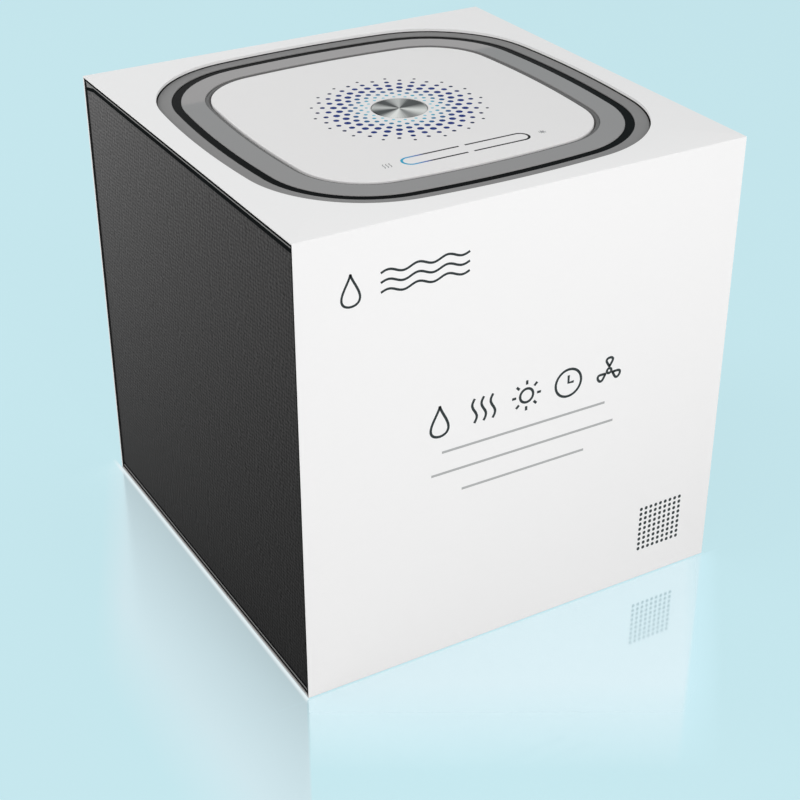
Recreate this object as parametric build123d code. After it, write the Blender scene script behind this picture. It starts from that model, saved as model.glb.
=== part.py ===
"""Boxed hearing aid dryer.

A white board sleeve slides over a dark cloth-textured box. The box holds the dryer high up, so that
its control top shows through a window in the sleeve. The dryer is a base tray with a ribbed mat and a
lift-off hood that carries the fan, the heater, the ultraviolet lamp, the control board and one button.

Millimetres. The origin is the bottom centre of the sleeve, +Z is up and the front faces -Y.
"""

import math
import os

from build123d import *

# ---------------------------------------------------------------------------------------------
# Driving dimensions: dryer plan, from the white plate outwards
# ---------------------------------------------------------------------------------------------
plate_half_width = 57.4
plate_side_radius = 339.0
plate_corner_radius = 25.6
bevel_ring_width = 2.1
bezel_width = 8.5
trim_ring_width = 3.35
rim_width = 5.05

# Driving dimensions: dryer heights
dryer_height = 110.0
base_height = 10.0
foot_stand_off = 1.5
bay_depth = 28.8
plate_thickness = 2.0
roof_thickness = 2.5
ceiling_thickness = 2.0
seal_height = 1.5

# Driving dimensions: carton
box_margin = 8.6
sleeve_board = 1.0
slide_gap = 0.2
window_gap = 0.3
wall_board = 2.0
base_board = 0.9
edge_board = 0.4
rim_cover_board = 0.65
wall_recess = 0.7
edge_recess = 0.45
board_recess = 1.0
riser_height = 54.5
riser_board = 1.5
riser_gap = 0.5
finger_hole_radius = 11.0
cradle_floor = 2.0
cradle_gap = 0.4
cradle_depth = 9.0
scoop_radius = 12.0
scoop_rim = 1.0

# Driving dimensions: dryer shells
hood_wall = 2.5
rim_edge_radius = 0.4
plate_seat = 3.4
ceiling_gap = 0.3
liner_gap = 0.2
liner_thickness = 0.8
liner_lift = 2.0
tray_wall = 2.2
tray_floor = 2.0
deck_thickness = 2.0
deck_gap = 0.1
deck_seat = 2.0
ridge_gap = 0.5
ridge_wall = 1.8
ridge_height = 3.0
notch_width = 12.0
notch_height = 10.0
boss_radius = 4.0
boss_inset_x = 11.9
boss_inset_y = 29.9

# Driving dimensions: base pieces
foot_radius = 7.0
foot_recess = 1.0
foot_inset = 24.4
base_boss_radius = 3.5
base_boss_inset_x = 14.4
base_boss_inset_y = 46.4
base_screw_sink = 1.2
base_screw_spare = 0.5
weight_gap = 8.5
weight_thickness = 3.0
mat_gap = 0.8
mat_thickness = 1.5
rib_height = 1.0
rib_width = 1.4
rib_pitch = 4.4
rib_margin = 13.8

# Driving dimensions: top trim
trim_sink = 0.3
bevel_sink = 0.35
bevel_chamfer = 0.9
bezel_edge = 0.4
plate_edge = 0.3
seat_gap = 0.05
seal_step = 0.2

# Driving dimensions: light dots
dot_rings = 11
dot_columns = 18
dot_inner_radius = 11.55
dot_ring_pitch = 1.93
dot_peak_diameter = 2.6
dot_rim_diameter = 1.15
dot_peak_ring = 5.5
dot_clearance = 0.03
guide_thickness = 1.5
guide_margin = 1.2

# Driving dimensions: split light line
line_length = 49.5
line_height = 6.9
line_stroke = 0.85
line_split = 2.4
line_inset = 13.0
line_foot = 0.5

# Driving dimensions: button
button_radius = 9.95
button_gap = 0.2
button_thickness = 0.9
button_edge = 0.2
button_travel = 1.0
plunger_radius = 9.5
plunger_thickness = 2.0
stem_radius = 3.2
running_gap = 0.1
cup_wall = 1.1
cup_floor = 1.2
cup_top_gap = 0.2
cup_side_gap = 0.2
spring_end_gap = 0.05
spring_length = 4.3
spring_wire = 0.5
spring_radius = 5.4
spring_turns = 3.0
switch_size = 6.0
switch_height = 3.5
switch_cap_radius = 1.75
switch_cap_height = 0.35
switch_gap = 0.05

# Driving dimensions: boards
board_drop = 11.8
board_thickness = 1.6
board_margin = 6.0
board_rear_margin = 4.5
board_fan_gap = 2.5
post_radius = 3.0
post_inset_x = 16.0
post_front_inset = 10.0
post_hole_end = 1.0
led_board_thickness = 1.0
led_board_margin = 1.0
led_tab_margin = 2.0
led_size = 2.0
led_height = 0.8
led_gap = 0.9
led_count = 12
led_circle_radius = 21.0
line_led_pitch = 9.0
line_led_count = 6
spacer_radius = 2.4
spacer_front_x = 21.0
spacer_front_step = 2.9
spacer_post_gap = 14.0
spacer_post_step = 5.0
chip_size = 10.0
chip_height = 1.4
chip_lift = 0.2
pin_count = 9
pin_width = 0.4
pin_height = 0.6
pin_reach = 1.0
chip_x = 24.0
chip_y = -22.0
capacitor_radius = 3.2
capacitor_height = 7.0
capacitor_x = -30.0
capacitor_y = -30.0
capacitor_pitch = 8.0
capacitor_count = 3
socket_length = 8.0
socket_width = 4.0
socket_height = 5.0
socket_inset = 8.5
socket_pitch = 12.0
socket_wall = 1.0
socket_depth = 2.0

# Driving dimensions: fan and heater
fan_size = 50.0
fan_depth = 10.0
fan_jack_gap = 2.9
fan_bore_gap = 1.4
rotor_clearance = 0.8
rotor_end_gap = 0.6
hub_radius = 11.0
hub_wall = 1.2
blade_count = 9
blade_thickness = 1.0
blade_margin = 1.0
blade_pitch_angle = 38.0
frame_floor = 1.2
strut_width = 3.0
strut_count = 4
strut_bite = 0.8
hub_floor_step = 0.5
bearing_floor = 0.6
bearing_wall = 1.4
bearing_radius = 2.0
shaft_radius = 1.0
shaft_gap = 0.03
shaft_end_gap = 0.3
stator_gap = 1.2
stator_core = 1.2
stator_tooth = 3.0
stator_shoe = 1.2
stator_height = 4.0
stator_count = 4
heater_depth = 6.0
heater_wall = 3.0
heater_bar_width = 3.0
heater_bar_count = 2
fin_end_gap = 0.5
fin_thickness = 0.6
fin_pitch = 3.2
outlet_slot = 2.6
outlet_pitch = 4.4
outlet_margin = 1.0
fan_screw_inset = 2.9
fan_screw_spare = 0.4

# Driving dimensions: ultraviolet lamp
lamp_fan_gap = 19.0
lamp_board_size = 32.0
lamp_board_thickness = 1.2
lamp_opening_radius = 11.0
lamp_window_radius = 13.8
lamp_window_thickness = 1.0
lamp_led_size = 3.5
lamp_led_height = 0.8
lamp_led_pitch = 7.0
sink_base = 1.6
sink_width = 26.0
sink_fin_height = 6.0
sink_fin_thickness = 1.0
sink_fin_pitch = 3.0
probe_collar = 1.0
probe_collar_height = 1.5
probe_tip_radius = 1.5
probe_radius = 2.5
probe_length = 4.0
probe_x = 30.0
probe_fan_gap = 21.0

# Driving dimensions: rear of the hood
vent_slot = 2.2
vent_height = 12.0
vent_pitch = 4.6
vent_count = 10
vent_centre_x = -11.0
vent_bottom_rise = 4.0
filter_thickness = 3.0
filter_gap = 3.6
filter_margin = 1.5
filter_rail = 1.2
filter_rail_height = 3.0
jack_wall_gap = 2.0
jack_mouth_sink = 1.0
jack_lead_step = 2.0
jack_rise = 12.0
jack_body_size = 9.0
jack_body_length = 10.0
jack_barrel_radius = 4.0
jack_bore_radius = 2.8
jack_bore_depth = 9.0
jack_pin_radius = 1.0
jack_pin_sink = 1.0
jack_pin_root = 0.5
jack_hole_gap = 0.15

# Driving dimensions: screws and leads
screw_shank_radius = 1.4
screw_hole_radius = 1.45
screw_head_radius = 2.8
screw_head_height = 1.7
screw_clear_radius = 1.7
screw_head_gap = 0.2
screw_length = 9.0
recess_half_length = 2.1
recess_width = 0.8
recess_depth = 0.9
lead_radius = 0.9
lead_drop = 4.0
lead_side_gap = 4.0
lead_straight = 6.0
lead_bend = 8.0
lead_end_bend = 2.5
lamp_lead_inset = 3.0
lead_order = ("heater", "fan", "lamp", "power")

# ---------------------------------------------------------------------------------------------
# Worked-out sizes and heights
# ---------------------------------------------------------------------------------------------
bevel_half_width = plate_half_width + bevel_ring_width
bezel_half_width = bevel_half_width + bezel_width
trim_half_width = bezel_half_width + trim_ring_width
dryer_half_width = trim_half_width + rim_width
sleeve_half_width = dryer_half_width + box_margin
inner_half_width = sleeve_half_width - sleeve_board
window_half_width = dryer_half_width + window_gap

# Cuts run this far out past the faces that they open.
overrun = wall_board / 2

box_half_depth = inner_half_width - slide_gap
wall_half_length = sleeve_half_width - wall_recess
edge_half_length = sleeve_half_width - edge_recess
board_half_run = sleeve_half_width - board_recess

floor_z = sleeve_board
base_board_z = floor_z + base_board
riser_z = base_board_z + edge_board
cradle_z = riser_z + riser_height
dryer_z = cradle_z + cradle_floor
dryer_top_z = dryer_z + dryer_height
sleeve_height = dryer_top_z + slide_gap + sleeve_board
rim_cover_z = dryer_top_z - rim_cover_board
wall_top_z = rim_cover_z - edge_board

base_top_z = dryer_z + base_height
tray_z = dryer_z + foot_stand_off
deck_z = base_top_z - deck_thickness
hood_z = base_top_z + seal_height
roof_top_z = dryer_top_z - plate_thickness
roof_z = roof_top_z - roof_thickness
ceiling_top_z = roof_top_z - bay_depth
ceiling_z = ceiling_top_z - ceiling_thickness
hood_inner_half_width = dryer_half_width - hood_wall
roof_opening_half_width = plate_half_width - plate_seat
ceiling_half_width = hood_inner_half_width - ceiling_gap
liner_outer_half_width = hood_inner_half_width - liner_gap
liner_inner_half_width = liner_outer_half_width - liner_thickness
liner_z = hood_z + liner_lift
ridge_half_width = liner_inner_half_width - ridge_gap
ridge_inner_half_width = ridge_half_width - ridge_wall
tray_inner_half_width = dryer_half_width - tray_wall
mat_half_width = ridge_inner_half_width - mat_gap

boss_x = hood_inner_half_width - boss_inset_x
boss_y = hood_inner_half_width - boss_inset_y
foot_place = dryer_half_width - foot_inset
base_boss_x = dryer_half_width - base_boss_inset_x
base_boss_y = dryer_half_width - base_boss_inset_y
weight_half_width = base_boss_x - base_boss_radius - weight_gap
rib_half_field = mat_half_width - rib_margin

lead_side_x = fan_size / 2 + lead_side_gap
jack_x = lead_side_x - jack_lead_step
jack_z = ceiling_top_z + jack_rise
jack_wall_y = hood_inner_half_width - jack_wall_gap
jack_back_y = jack_wall_y - jack_body_length
jack_mouth_y = dryer_half_width - jack_mouth_sink
filter_rear_y = hood_inner_half_width - filter_gap

fan_front_y = jack_back_y - fan_jack_gap - fan_size
fan_centre_y = fan_front_y + fan_size / 2
fan_bore_radius = fan_size / 2 - fan_bore_gap
rotor_radius = fan_bore_radius - rotor_clearance
heater_half = fan_size / 2 - heater_wall
heater_top_z = ceiling_top_z + heater_depth
fan_top_z = heater_top_z + fan_depth
bearing_z = heater_top_z + bearing_floor
stator_z = heater_top_z + frame_floor
stator_radius = hub_radius - hub_wall - stator_gap
bearing_top_z = stator_z + stator_height
lamp_centre_y = fan_front_y - lamp_fan_gap - lamp_board_size / 2
probe_y = fan_front_y - probe_fan_gap

button_hole_radius = button_radius + button_gap
cup_inner_radius = plunger_radius + running_gap
cup_radius = cup_inner_radius + cup_wall
guide_hole_radius = cup_radius + cup_side_gap
guide_z = roof_top_z - guide_thickness
plunger_z = dryer_top_z - button_thickness - plunger_thickness
cup_floor_z = plunger_z - spring_length
board_top_z = roof_top_z - board_drop
board_z = board_top_z - board_thickness
stem_z = board_top_z + switch_height + switch_cap_height + switch_gap + button_travel
led_board_top_z = guide_z - led_gap - led_height
led_board_z = led_board_top_z - led_board_thickness
dot_field_radius = dot_inner_radius + (dot_rings - 1) * dot_ring_pitch + dot_rim_diameter / 2
guide_radius = dot_field_radius + guide_margin
led_board_radius = guide_radius + led_board_margin

line_centre_y = line_inset - plate_half_width
led_tab_half_width = line_length / 2 + led_tab_margin
post_x = roof_opening_half_width - post_inset_x
post_front_y = post_front_inset - roof_opening_half_width
board_half_length = post_x + board_margin
board_front_y = post_front_y - board_margin
board_rear_y = fan_front_y - board_fan_gap
post_rear_y = board_rear_y - board_rear_margin
socket_y = board_rear_y - socket_inset
spacer_front_y = line_centre_y + spacer_front_step
spacer_rear_x = post_x - spacer_post_gap
spacer_rear_y = post_rear_y - spacer_post_step


# ---------------------------------------------------------------------------------------------
# Basic shapes
# ---------------------------------------------------------------------------------------------
def squircle(half_width):
    """Face of a rounded square: four bulged sides and four round corners, all tangent.

    Every outline of the dryer is the plate's outline moved out or in by a constant distance.
    """
    offset = half_width - plate_half_width
    side_radius = plate_side_radius + offset
    corner_radius = plate_corner_radius + offset
    side_centre = plate_half_width - plate_side_radius
    reach = plate_side_radius - plate_corner_radius
    corner_centre = (side_centre + math.sqrt(2 * reach**2 - side_centre**2)) / 2
    turn = math.atan2(corner_centre, corner_centre - side_centre)
    far = side_centre + side_radius * math.cos(turn)
    near = side_radius * math.sin(turn)
    diagonal = corner_centre + corner_radius * math.sqrt(0.5)
    edges = []
    for quarter in range(4):
        spin = Rot(0, 0, 90 * quarter)
        edges.append(spin * ThreePointArc((far, -near), (half_width, 0), (far, near)))
        edges.append(spin * ThreePointArc((far, near), (diagonal, diagonal), (near, far)))
    return make_face(edges)


def past(low, high):
    """Range of a cut that runs out past both faces."""
    return low - overrun, high + overrun


def slab(half_width, low, high):
    """Solid of the dryer's outline between two heights."""
    return Pos(0, 0, low) * extrude(squircle(half_width), high - low)


def ring(outer_half_width, inner_half_width, low, high):
    """Band between two of the dryer's outlines."""
    return slab(outer_half_width, low, high) - slab(inner_half_width, *past(low, high))


def block(x_range, y_range, z_range):
    """Box between two corners."""
    sizes = [high - low for low, high in (x_range, y_range, z_range)]
    middles = [(high + low) / 2 for low, high in (x_range, y_range, z_range)]
    return Pos(*middles) * Box(*sizes)


def rod(x, y, radius, low, high):
    """Upright cylinder."""
    return Pos(x, y, (low + high) / 2) * Cylinder(radius, high - low)


def tube(x, y, outer_radius, inner_radius, low, high):
    """Upright pipe."""
    return rod(x, y, outer_radius, low, high) - rod(x, y, inner_radius, *past(low, high))


def level_rod(x, z, radius, near, far):
    """Cylinder that lies along Y."""
    return Pos(x, (near + far) / 2, z) * Rot(90, 0, 0) * Cylinder(radius, far - near)


def group(solids):
    """Several separate solids of one node."""
    return Compound(children=list(solids))


def corners(x, y, centre_y=0.0):
    """Four places of a rectangular pattern."""
    return [(sx * x, centre_y + sy * y) for sx in (-1, 1) for sy in (-1, 1)]


def screw(x, y, seat_z, length, up=True):
    """Pan-head screw with a cross recess. Its head seats at seat_z and its shank goes up or down."""
    way = 1 if up else -1
    head = rod(x, y, screw_head_radius, *sorted((seat_z, seat_z - way * screw_head_height)))
    shank = rod(x, y, screw_shank_radius, *sorted((seat_z, seat_z + way * length)))
    face = seat_z - way * screw_head_height
    body = head + shank
    deep = sorted((face - way * overrun, face + way * recess_depth))
    across = recess_width / 2
    for half_x, half_y in ((recess_half_length, across), (across, recess_half_length)):
        body -= block((x - half_x, x + half_x), (y - half_y, y + half_y), deep)
    return body


def save(name, shape):
    """Write one node."""
    export_step(shape, os.path.join("parts", name + ".step"))
    print(name)


# ---------------------------------------------------------------------------------------------
# Carton
# ---------------------------------------------------------------------------------------------
def outer_sleeve():
    """White folded board tube, open at both X ends, with the window in its top panel."""
    length = (-sleeve_half_width, sleeve_half_width)
    outside = block(length, length, (0, sleeve_height))
    inside = (-inner_half_width, inner_half_width)
    inner_top_z = sleeve_height - sleeve_board
    hollow = block(past(*length), inside, (sleeve_board, inner_top_z))
    window = slab(window_half_width, *past(inner_top_z, sleeve_height))
    return outside - hollow - window


def box_sheet(half_length, low, high):
    """Flat board of the inner box."""
    return block((-half_length, half_length), (-box_half_depth, box_half_depth), (low, high))


def box_frame(half_length, low, high):
    """Four upright sides of the inner box. Its inside is the same at every height."""
    inner_length = wall_half_length - wall_board
    inner_depth = box_half_depth - wall_board
    hollow = block((-inner_length, inner_length), (-inner_depth, inner_depth), past(low, high))
    return box_sheet(half_length, low, high) - hollow


def riser():
    """Folded board tube that props the cradle up and leaves room for accessories."""
    half_length = wall_half_length - wall_board - riser_gap
    half_depth = box_half_depth - wall_board - riser_gap
    outside = block((-half_length, half_length), (-half_depth, half_depth), (riser_z, cradle_z))
    inner_depth = half_depth - riser_board
    inner_height = (riser_z + riser_board, cradle_z - riser_board)
    hollow = block(past(-half_length, half_length), (-inner_depth, inner_depth), inner_height)
    finger_hole = rod(0, 0, finger_hole_radius, *past(cradle_z - riser_board, cradle_z))
    return outside - hollow - finger_hole


def cradle():
    """Foam tray with a pocket for the dryer's base and two finger scoops."""
    half_length = wall_half_length - wall_board - cradle_gap
    half_depth = box_half_depth - wall_board - cradle_gap
    top_z = dryer_z + cradle_depth
    body = block((-half_length, half_length), (-half_depth, half_depth), (cradle_z, top_z))
    pocket_height = (dryer_z, top_z + overrun)
    body -= slab(window_half_width, *pocket_height)
    rim_x = half_length - scoop_rim
    room = block((-rim_x, rim_x), (-half_depth, half_depth), pocket_height)
    for side in (-1, 1):
        body -= rod(side * window_half_width, 0, scoop_radius, *pocket_height) & room
    return body


# ---------------------------------------------------------------------------------------------
# Dryer base
# ---------------------------------------------------------------------------------------------
def rear_notch(low, high):
    """Space at the middle of the rear rim where a charging lead passes under the hood."""
    half = notch_width / 2
    return block((-half, half), (0, dryer_half_width + overrun), (low, high))


def base_tray():
    """Bottom shell with foot recesses and screw holes."""
    body = slab(dryer_half_width, tray_z, base_top_z)
    floor_top_z = tray_z + tray_floor
    body -= slab(tray_inner_half_width - deck_seat, floor_top_z, base_top_z + overrun)
    body -= slab(tray_inner_half_width, deck_z, base_top_z + overrun)
    for x, y in corners(foot_place, foot_place):
        body -= rod(x, y, foot_radius, tray_z - overrun, tray_z + foot_recess)
    for x, y in corners(base_boss_x, base_boss_y):
        body -= rod(x, y, screw_clear_radius, *past(tray_z, floor_top_z))
        body -= rod(x, y, screw_head_radius + screw_head_gap, tray_z - overrun, tray_z + base_screw_sink)
    return body


def base_deck():
    """Cover of the base with the ridge that centres the hood and bosses for the base screws."""
    body = slab(tray_inner_half_width - deck_gap, deck_z, base_top_z)
    body += ring(ridge_half_width, ridge_inner_half_width, base_top_z, base_top_z + ridge_height)
    body -= rear_notch(base_top_z, base_top_z + ridge_height + overrun)
    floor_top_z = tray_z + tray_floor
    for x, y in corners(base_boss_x, base_boss_y):
        body += rod(x, y, base_boss_radius, floor_top_z, deck_z)
        body -= rod(x, y, screw_hole_radius, floor_top_z - overrun, deck_z)
    return body


def base_weight():
    """Steel plate that keeps the base steady."""
    span = (-weight_half_width, weight_half_width)
    low = tray_z + tray_floor
    return block(span, span, (low, low + weight_thickness))


def drying_mat():
    """Soft ribbed mat that the hearing aids lie on."""
    top = base_top_z + mat_thickness
    body = slab(mat_half_width, base_top_z, top)
    count = int(rib_half_field // rib_pitch)
    for index in range(-count, count + 1):
        x = index * rib_pitch
        reach = rib_half_field
        body += block((x - rib_width / 2, x + rib_width / 2), (-reach, reach), (top, top + rib_height))
    return body


def rubber_feet():
    """Four round feet."""
    low = dryer_z
    high = tray_z + foot_recess
    return group(rod(x, y, foot_radius, low, high) for x, y in corners(foot_place, foot_place))


def base_screws():
    """Screws that hold the deck to the tray, driven from below."""
    seat_z = tray_z + base_screw_sink
    length = deck_z - seat_z - base_screw_spare
    return group(screw(x, y, seat_z, length) for x, y in corners(base_boss_x, base_boss_y))


# ---------------------------------------------------------------------------------------------
# Hood shells and top trim
# ---------------------------------------------------------------------------------------------
def vent_places():
    """X places of the air intake slots in the rear wall."""
    first = vent_centre_x - vent_pitch * (vent_count - 1) / 2
    return [first + vent_pitch * index for index in range(vent_count)]


def hood_shell():
    """Smoked outer shell: wall, top rim, roof ledge and four long screw bosses."""
    body = slab(dryer_half_width, hood_z, dryer_top_z)
    top_edges = body.faces().sort_by(Axis.Z)[-1].edges()
    body = fillet(top_edges, rim_edge_radius)
    body -= slab(hood_inner_half_width, hood_z - overrun, roof_z)
    body -= slab(roof_opening_half_width, *past(roof_z, dryer_top_z))
    body -= slab(trim_half_width, roof_top_z, dryer_top_z + overrun)
    for x, y in corners(boss_x, boss_y):
        body += rod(x, y, boss_radius, ceiling_top_z, roof_z)
        body -= rod(x, y, screw_hole_radius, ceiling_top_z - overrun, roof_z)
    body -= rear_notch(hood_z - overrun, base_top_z + notch_height)
    low = ceiling_top_z + vent_bottom_rise
    rear_wall = (roof_opening_half_width, dryer_half_width + overrun)
    for x in vent_places():
        body -= block((x - vent_slot / 2, x + vent_slot / 2), rear_wall, (low, low + vent_height))
    hole_radius = jack_barrel_radius + jack_hole_gap
    return body - level_rod(jack_x, jack_z, hole_radius, jack_wall_y, dryer_half_width + overrun)


def rim_seal():
    """Soft ring under the hood's wall."""
    outer = dryer_half_width - seal_step
    inner = hood_inner_half_width + seal_step
    return ring(outer, inner, base_top_z, hood_z) - rear_notch(*past(base_top_z, hood_z))


def chamber_liner():
    """Thin reflecting liner inside the hood's wall."""
    body = ring(liner_outer_half_width, liner_inner_half_width, liner_z, ceiling_z)
    return body - rear_notch(liner_z - overrun, base_top_z + notch_height)


def trim_ring():
    """Black ring that stands a little below the rim."""
    outer = trim_half_width - seat_gap
    inner = bezel_half_width + seat_gap
    return ring(outer, inner, roof_top_z, dryer_top_z - trim_sink)


def gloss_bezel():
    """Smoked glossy band around the plate."""
    body = slab(bezel_half_width, roof_top_z, dryer_top_z)
    body = fillet(body.faces().sort_by(Axis.Z)[-1].edges(), bezel_edge)
    return body - slab(bevel_half_width, *past(roof_top_z, dryer_top_z))


def bevel_ring():
    """Thin ring that slopes down from the bezel towards the plate."""
    outer = bevel_half_width - seat_gap
    inner = plate_half_width + seat_gap
    body = ring(outer, inner, roof_top_z, dryer_top_z - bevel_sink)
    inner_rim = body.faces().sort_by(Axis.Z)[-1].inner_wires()[0].edges()
    return chamfer(inner_rim, bevel_chamfer)


def dot_places():
    """Centre and radius of every light dot: rings of equal count, each turned by half a step."""
    places = []
    for index in range(dot_rings):
        radius = dot_inner_radius + dot_ring_pitch * index
        reach = dot_peak_ring if index <= dot_peak_ring else dot_rings - 1 - dot_peak_ring
        fall = abs(index - dot_peak_ring) / reach
        diameter = dot_peak_diameter - (dot_peak_diameter - dot_rim_diameter) * fall
        shift = 0.0 if index % 2 else 0.5
        for step in range(dot_columns):
            turn = 2 * math.pi * (step + shift) / dot_columns
            places.append((radius * math.cos(turn), radius * math.sin(turn), diameter / 2))
    return places


def dots(grow):
    """Flat discs of all the dots, grown by a clearance."""
    return Sketch() + [Pos(x, y) * Circle(radius + grow) for x, y, radius in dot_places()]


def light_line(side, grow):
    """Flat half of the long rounded outline, on the left (-1) or right (1) of its split."""
    outer = SlotOverall(line_length + 2 * grow, line_height + 2 * grow)
    inside = line_stroke + grow
    inner = SlotOverall(line_length - 2 * inside, line_height - 2 * inside)
    half = line_length / 2
    start = line_split / 2 - grow
    middle = side * (start + half)
    side_room = Pos(middle, 0) * Rectangle(2 * half, 2 * line_height)
    return Pos(0, line_centre_y) * ((outer - inner) & side_room)


def post_places():
    """Places of the posts under the plate that carry the control board."""
    return [(side * post_x, y) for side in (-1, 1) for y in (post_front_y, post_rear_y)]


def top_plate():
    """White plate with the button hole, the dot holes, the line slots and four posts below."""
    body = slab(plate_half_width, roof_top_z, dryer_top_z)
    body = fillet(body.faces().sort_by(Axis.Z)[-1].edges(), plate_edge)
    holes = Circle(button_hole_radius) + dots(dot_clearance)
    holes += light_line(-1, dot_clearance)
    holes += light_line(1, dot_clearance)
    body -= Pos(0, 0, roof_top_z - overrun) * extrude(holes, plate_thickness + 2 * overrun)
    for x, y in post_places():
        body += rod(x, y, post_radius, board_top_z, roof_top_z)
        body -= rod(x, y, screw_hole_radius, board_top_z - overrun, roof_top_z - post_hole_end)
    return body


def dot_light_guide():
    """Clear disc under the plate with one pip for each dot."""
    body = tube(0, 0, guide_radius, guide_hole_radius, guide_z, roof_top_z)
    return body + Pos(0, 0, roof_top_z) * extrude(dots(0), plate_thickness)


def line_light_guide(side):
    """Clear half outline that fills its slot, on a wider foot under the plate."""
    bar = Pos(0, 0, roof_top_z) * extrude(light_line(side, 0), plate_thickness)
    foot = Pos(0, 0, guide_z) * extrude(light_line(side, line_foot), guide_thickness)
    return bar + foot


# ---------------------------------------------------------------------------------------------
# Button
# ---------------------------------------------------------------------------------------------
def button_disc():
    """Metal face of the button."""
    body = rod(0, 0, button_radius, dryer_top_z - button_thickness, dryer_top_z)
    return chamfer(body.faces().sort_by(Axis.Z)[-1].edges(), button_edge)


def button_plunger():
    """Plastic flange and stem under the metal disc."""
    flange = rod(0, 0, plunger_radius, plunger_z, plunger_z + plunger_thickness)
    return flange + rod(0, 0, stem_radius, stem_z, plunger_z)


def button_guide():
    """Cup that guides the plunger and seats the spring, standing on the control board."""
    top = roof_top_z - cup_top_gap
    body = tube(0, 0, cup_radius, cup_inner_radius, board_top_z, top)
    hole = stem_radius + running_gap
    return body + tube(0, 0, cup_inner_radius + cup_wall / 2, hole, cup_floor_z - cup_floor, cup_floor_z)


def button_spring():
    """Coil spring between the cup's floor and the plunger."""
    rise = spring_length - spring_wire - 2 * spring_end_gap
    pitch = rise / spring_turns
    path = Helix(pitch, rise, spring_radius)
    start = Plane(path @ 0, z_dir=path % 0)
    coil = sweep(start * Circle(spring_wire / 2), path=path, is_frenet=True)
    return Pos(0, 0, cup_floor_z + spring_wire / 2 + spring_end_gap) * coil


def tact_switch():
    """Small switch on the board, below the stem."""
    half = switch_size / 2
    top = board_top_z + switch_height
    body = block((-half, half), (-half, half), (board_top_z, top))
    return body + rod(0, 0, switch_cap_radius, top, top + switch_cap_height)


# ---------------------------------------------------------------------------------------------
# Boards
# ---------------------------------------------------------------------------------------------
def spacer_places():
    """Places of the spacers between the control board and the light board."""
    front = [(side * spacer_front_x, spacer_front_y) for side in (-1, 1)]
    rear = [(side * spacer_rear_x, spacer_rear_y) for side in (-1, 1)]
    return front + rear


def led_board():
    """Round board with a front tab, under the light guides."""
    front_y = line_centre_y - line_height / 2 - led_tab_margin
    body = rod(0, 0, led_board_radius, led_board_z, led_board_top_z)
    body += block((-led_tab_half_width, led_tab_half_width), (front_y, 0), (led_board_z, led_board_top_z))
    return body - rod(0, 0, guide_hole_radius, *past(led_board_z, led_board_top_z))


def indicator_leds():
    """Lamps below the dots and below the split line."""
    half = led_size / 2
    high = (led_board_top_z, led_board_top_z + led_height)
    places = []
    for step in range(led_count):
        turn = 2 * math.pi * step / led_count
        places.append((led_circle_radius * math.cos(turn), led_circle_radius * math.sin(turn)))
    first = -line_led_pitch * (line_led_count - 1) / 2
    for step in range(line_led_count):
        places.append((first + line_led_pitch * step, line_centre_y))
    return group(block((x - half, x + half), (y - half, y + half), high) for x, y in places)


def board_spacers():
    """Four spacers between the two boards."""
    return group(rod(x, y, spacer_radius, board_top_z, led_board_z) for x, y in spacer_places())


def control_board():
    """Main circuit board, screwed to the plate's posts."""
    length = (-board_half_length, board_half_length)
    body = block(length, (board_front_y, board_rear_y), (board_z, board_top_z))
    for x, y in post_places():
        body -= rod(x, y, screw_clear_radius, *past(board_z, board_top_z))
    return body


def board_screws():
    """Screws from below through the control board into the posts."""
    return group(screw(x, y, board_z, screw_length) for x, y in post_places())


def control_chip():
    """Main controller, with rows of pins on its four sides."""
    half = chip_size / 2
    reach = half + pin_reach
    body_z = (board_top_z + chip_lift, board_top_z + chip_height)
    pin_z = (board_top_z, board_top_z + pin_height)
    body = block((chip_x - half, chip_x + half), (chip_y - half, chip_y + half), body_z)
    for step in range(pin_count):
        along = chip_size * ((step + 1) / (pin_count + 1)) - half
        low = along - pin_width / 2
        high = along + pin_width / 2
        body += block((chip_x - reach, chip_x + reach), (chip_y + low, chip_y + high), pin_z)
        body += block((chip_x + low, chip_x + high), (chip_y - reach, chip_y + reach), pin_z)
    return body


def capacitors():
    """Cans hanging below the board."""
    solids = []
    for step in range(capacitor_count):
        y = capacitor_y + capacitor_pitch * step
        solids.append(rod(capacitor_x, y, capacitor_radius, board_z - capacitor_height, board_z))
    return group(solids)


def socket_x(lead_name):
    """X place of one lead's socket in the row below the board."""
    return socket_pitch * (lead_order.index(lead_name) - (len(lead_order) - 1) / 2)


def board_sockets():
    """Sockets below the rear edge of the board, open at the bottom for the leads."""
    half = socket_length / 2
    deep = socket_width / 2
    low = board_z - socket_height
    solids = []
    for lead_name in lead_order:
        x = socket_x(lead_name)
        body = block((x - half, x + half), (socket_y - deep, socket_y + deep), (low, board_z))
        mouth_x = (x - half + socket_wall, x + half - socket_wall)
        mouth_y = (socket_y - deep + socket_wall, socket_y + deep - socket_wall)
        body -= block(mouth_x, mouth_y, (low - overrun, low + socket_depth))
        solids.append(body)
    return group(solids)


# ---------------------------------------------------------------------------------------------
# Ceiling of the drying chamber
# ---------------------------------------------------------------------------------------------
def filter_span():
    """X range of the intake filter behind the slots."""
    places = vent_places()
    return places[0] - vent_pitch, places[-1] + vent_pitch


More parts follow.
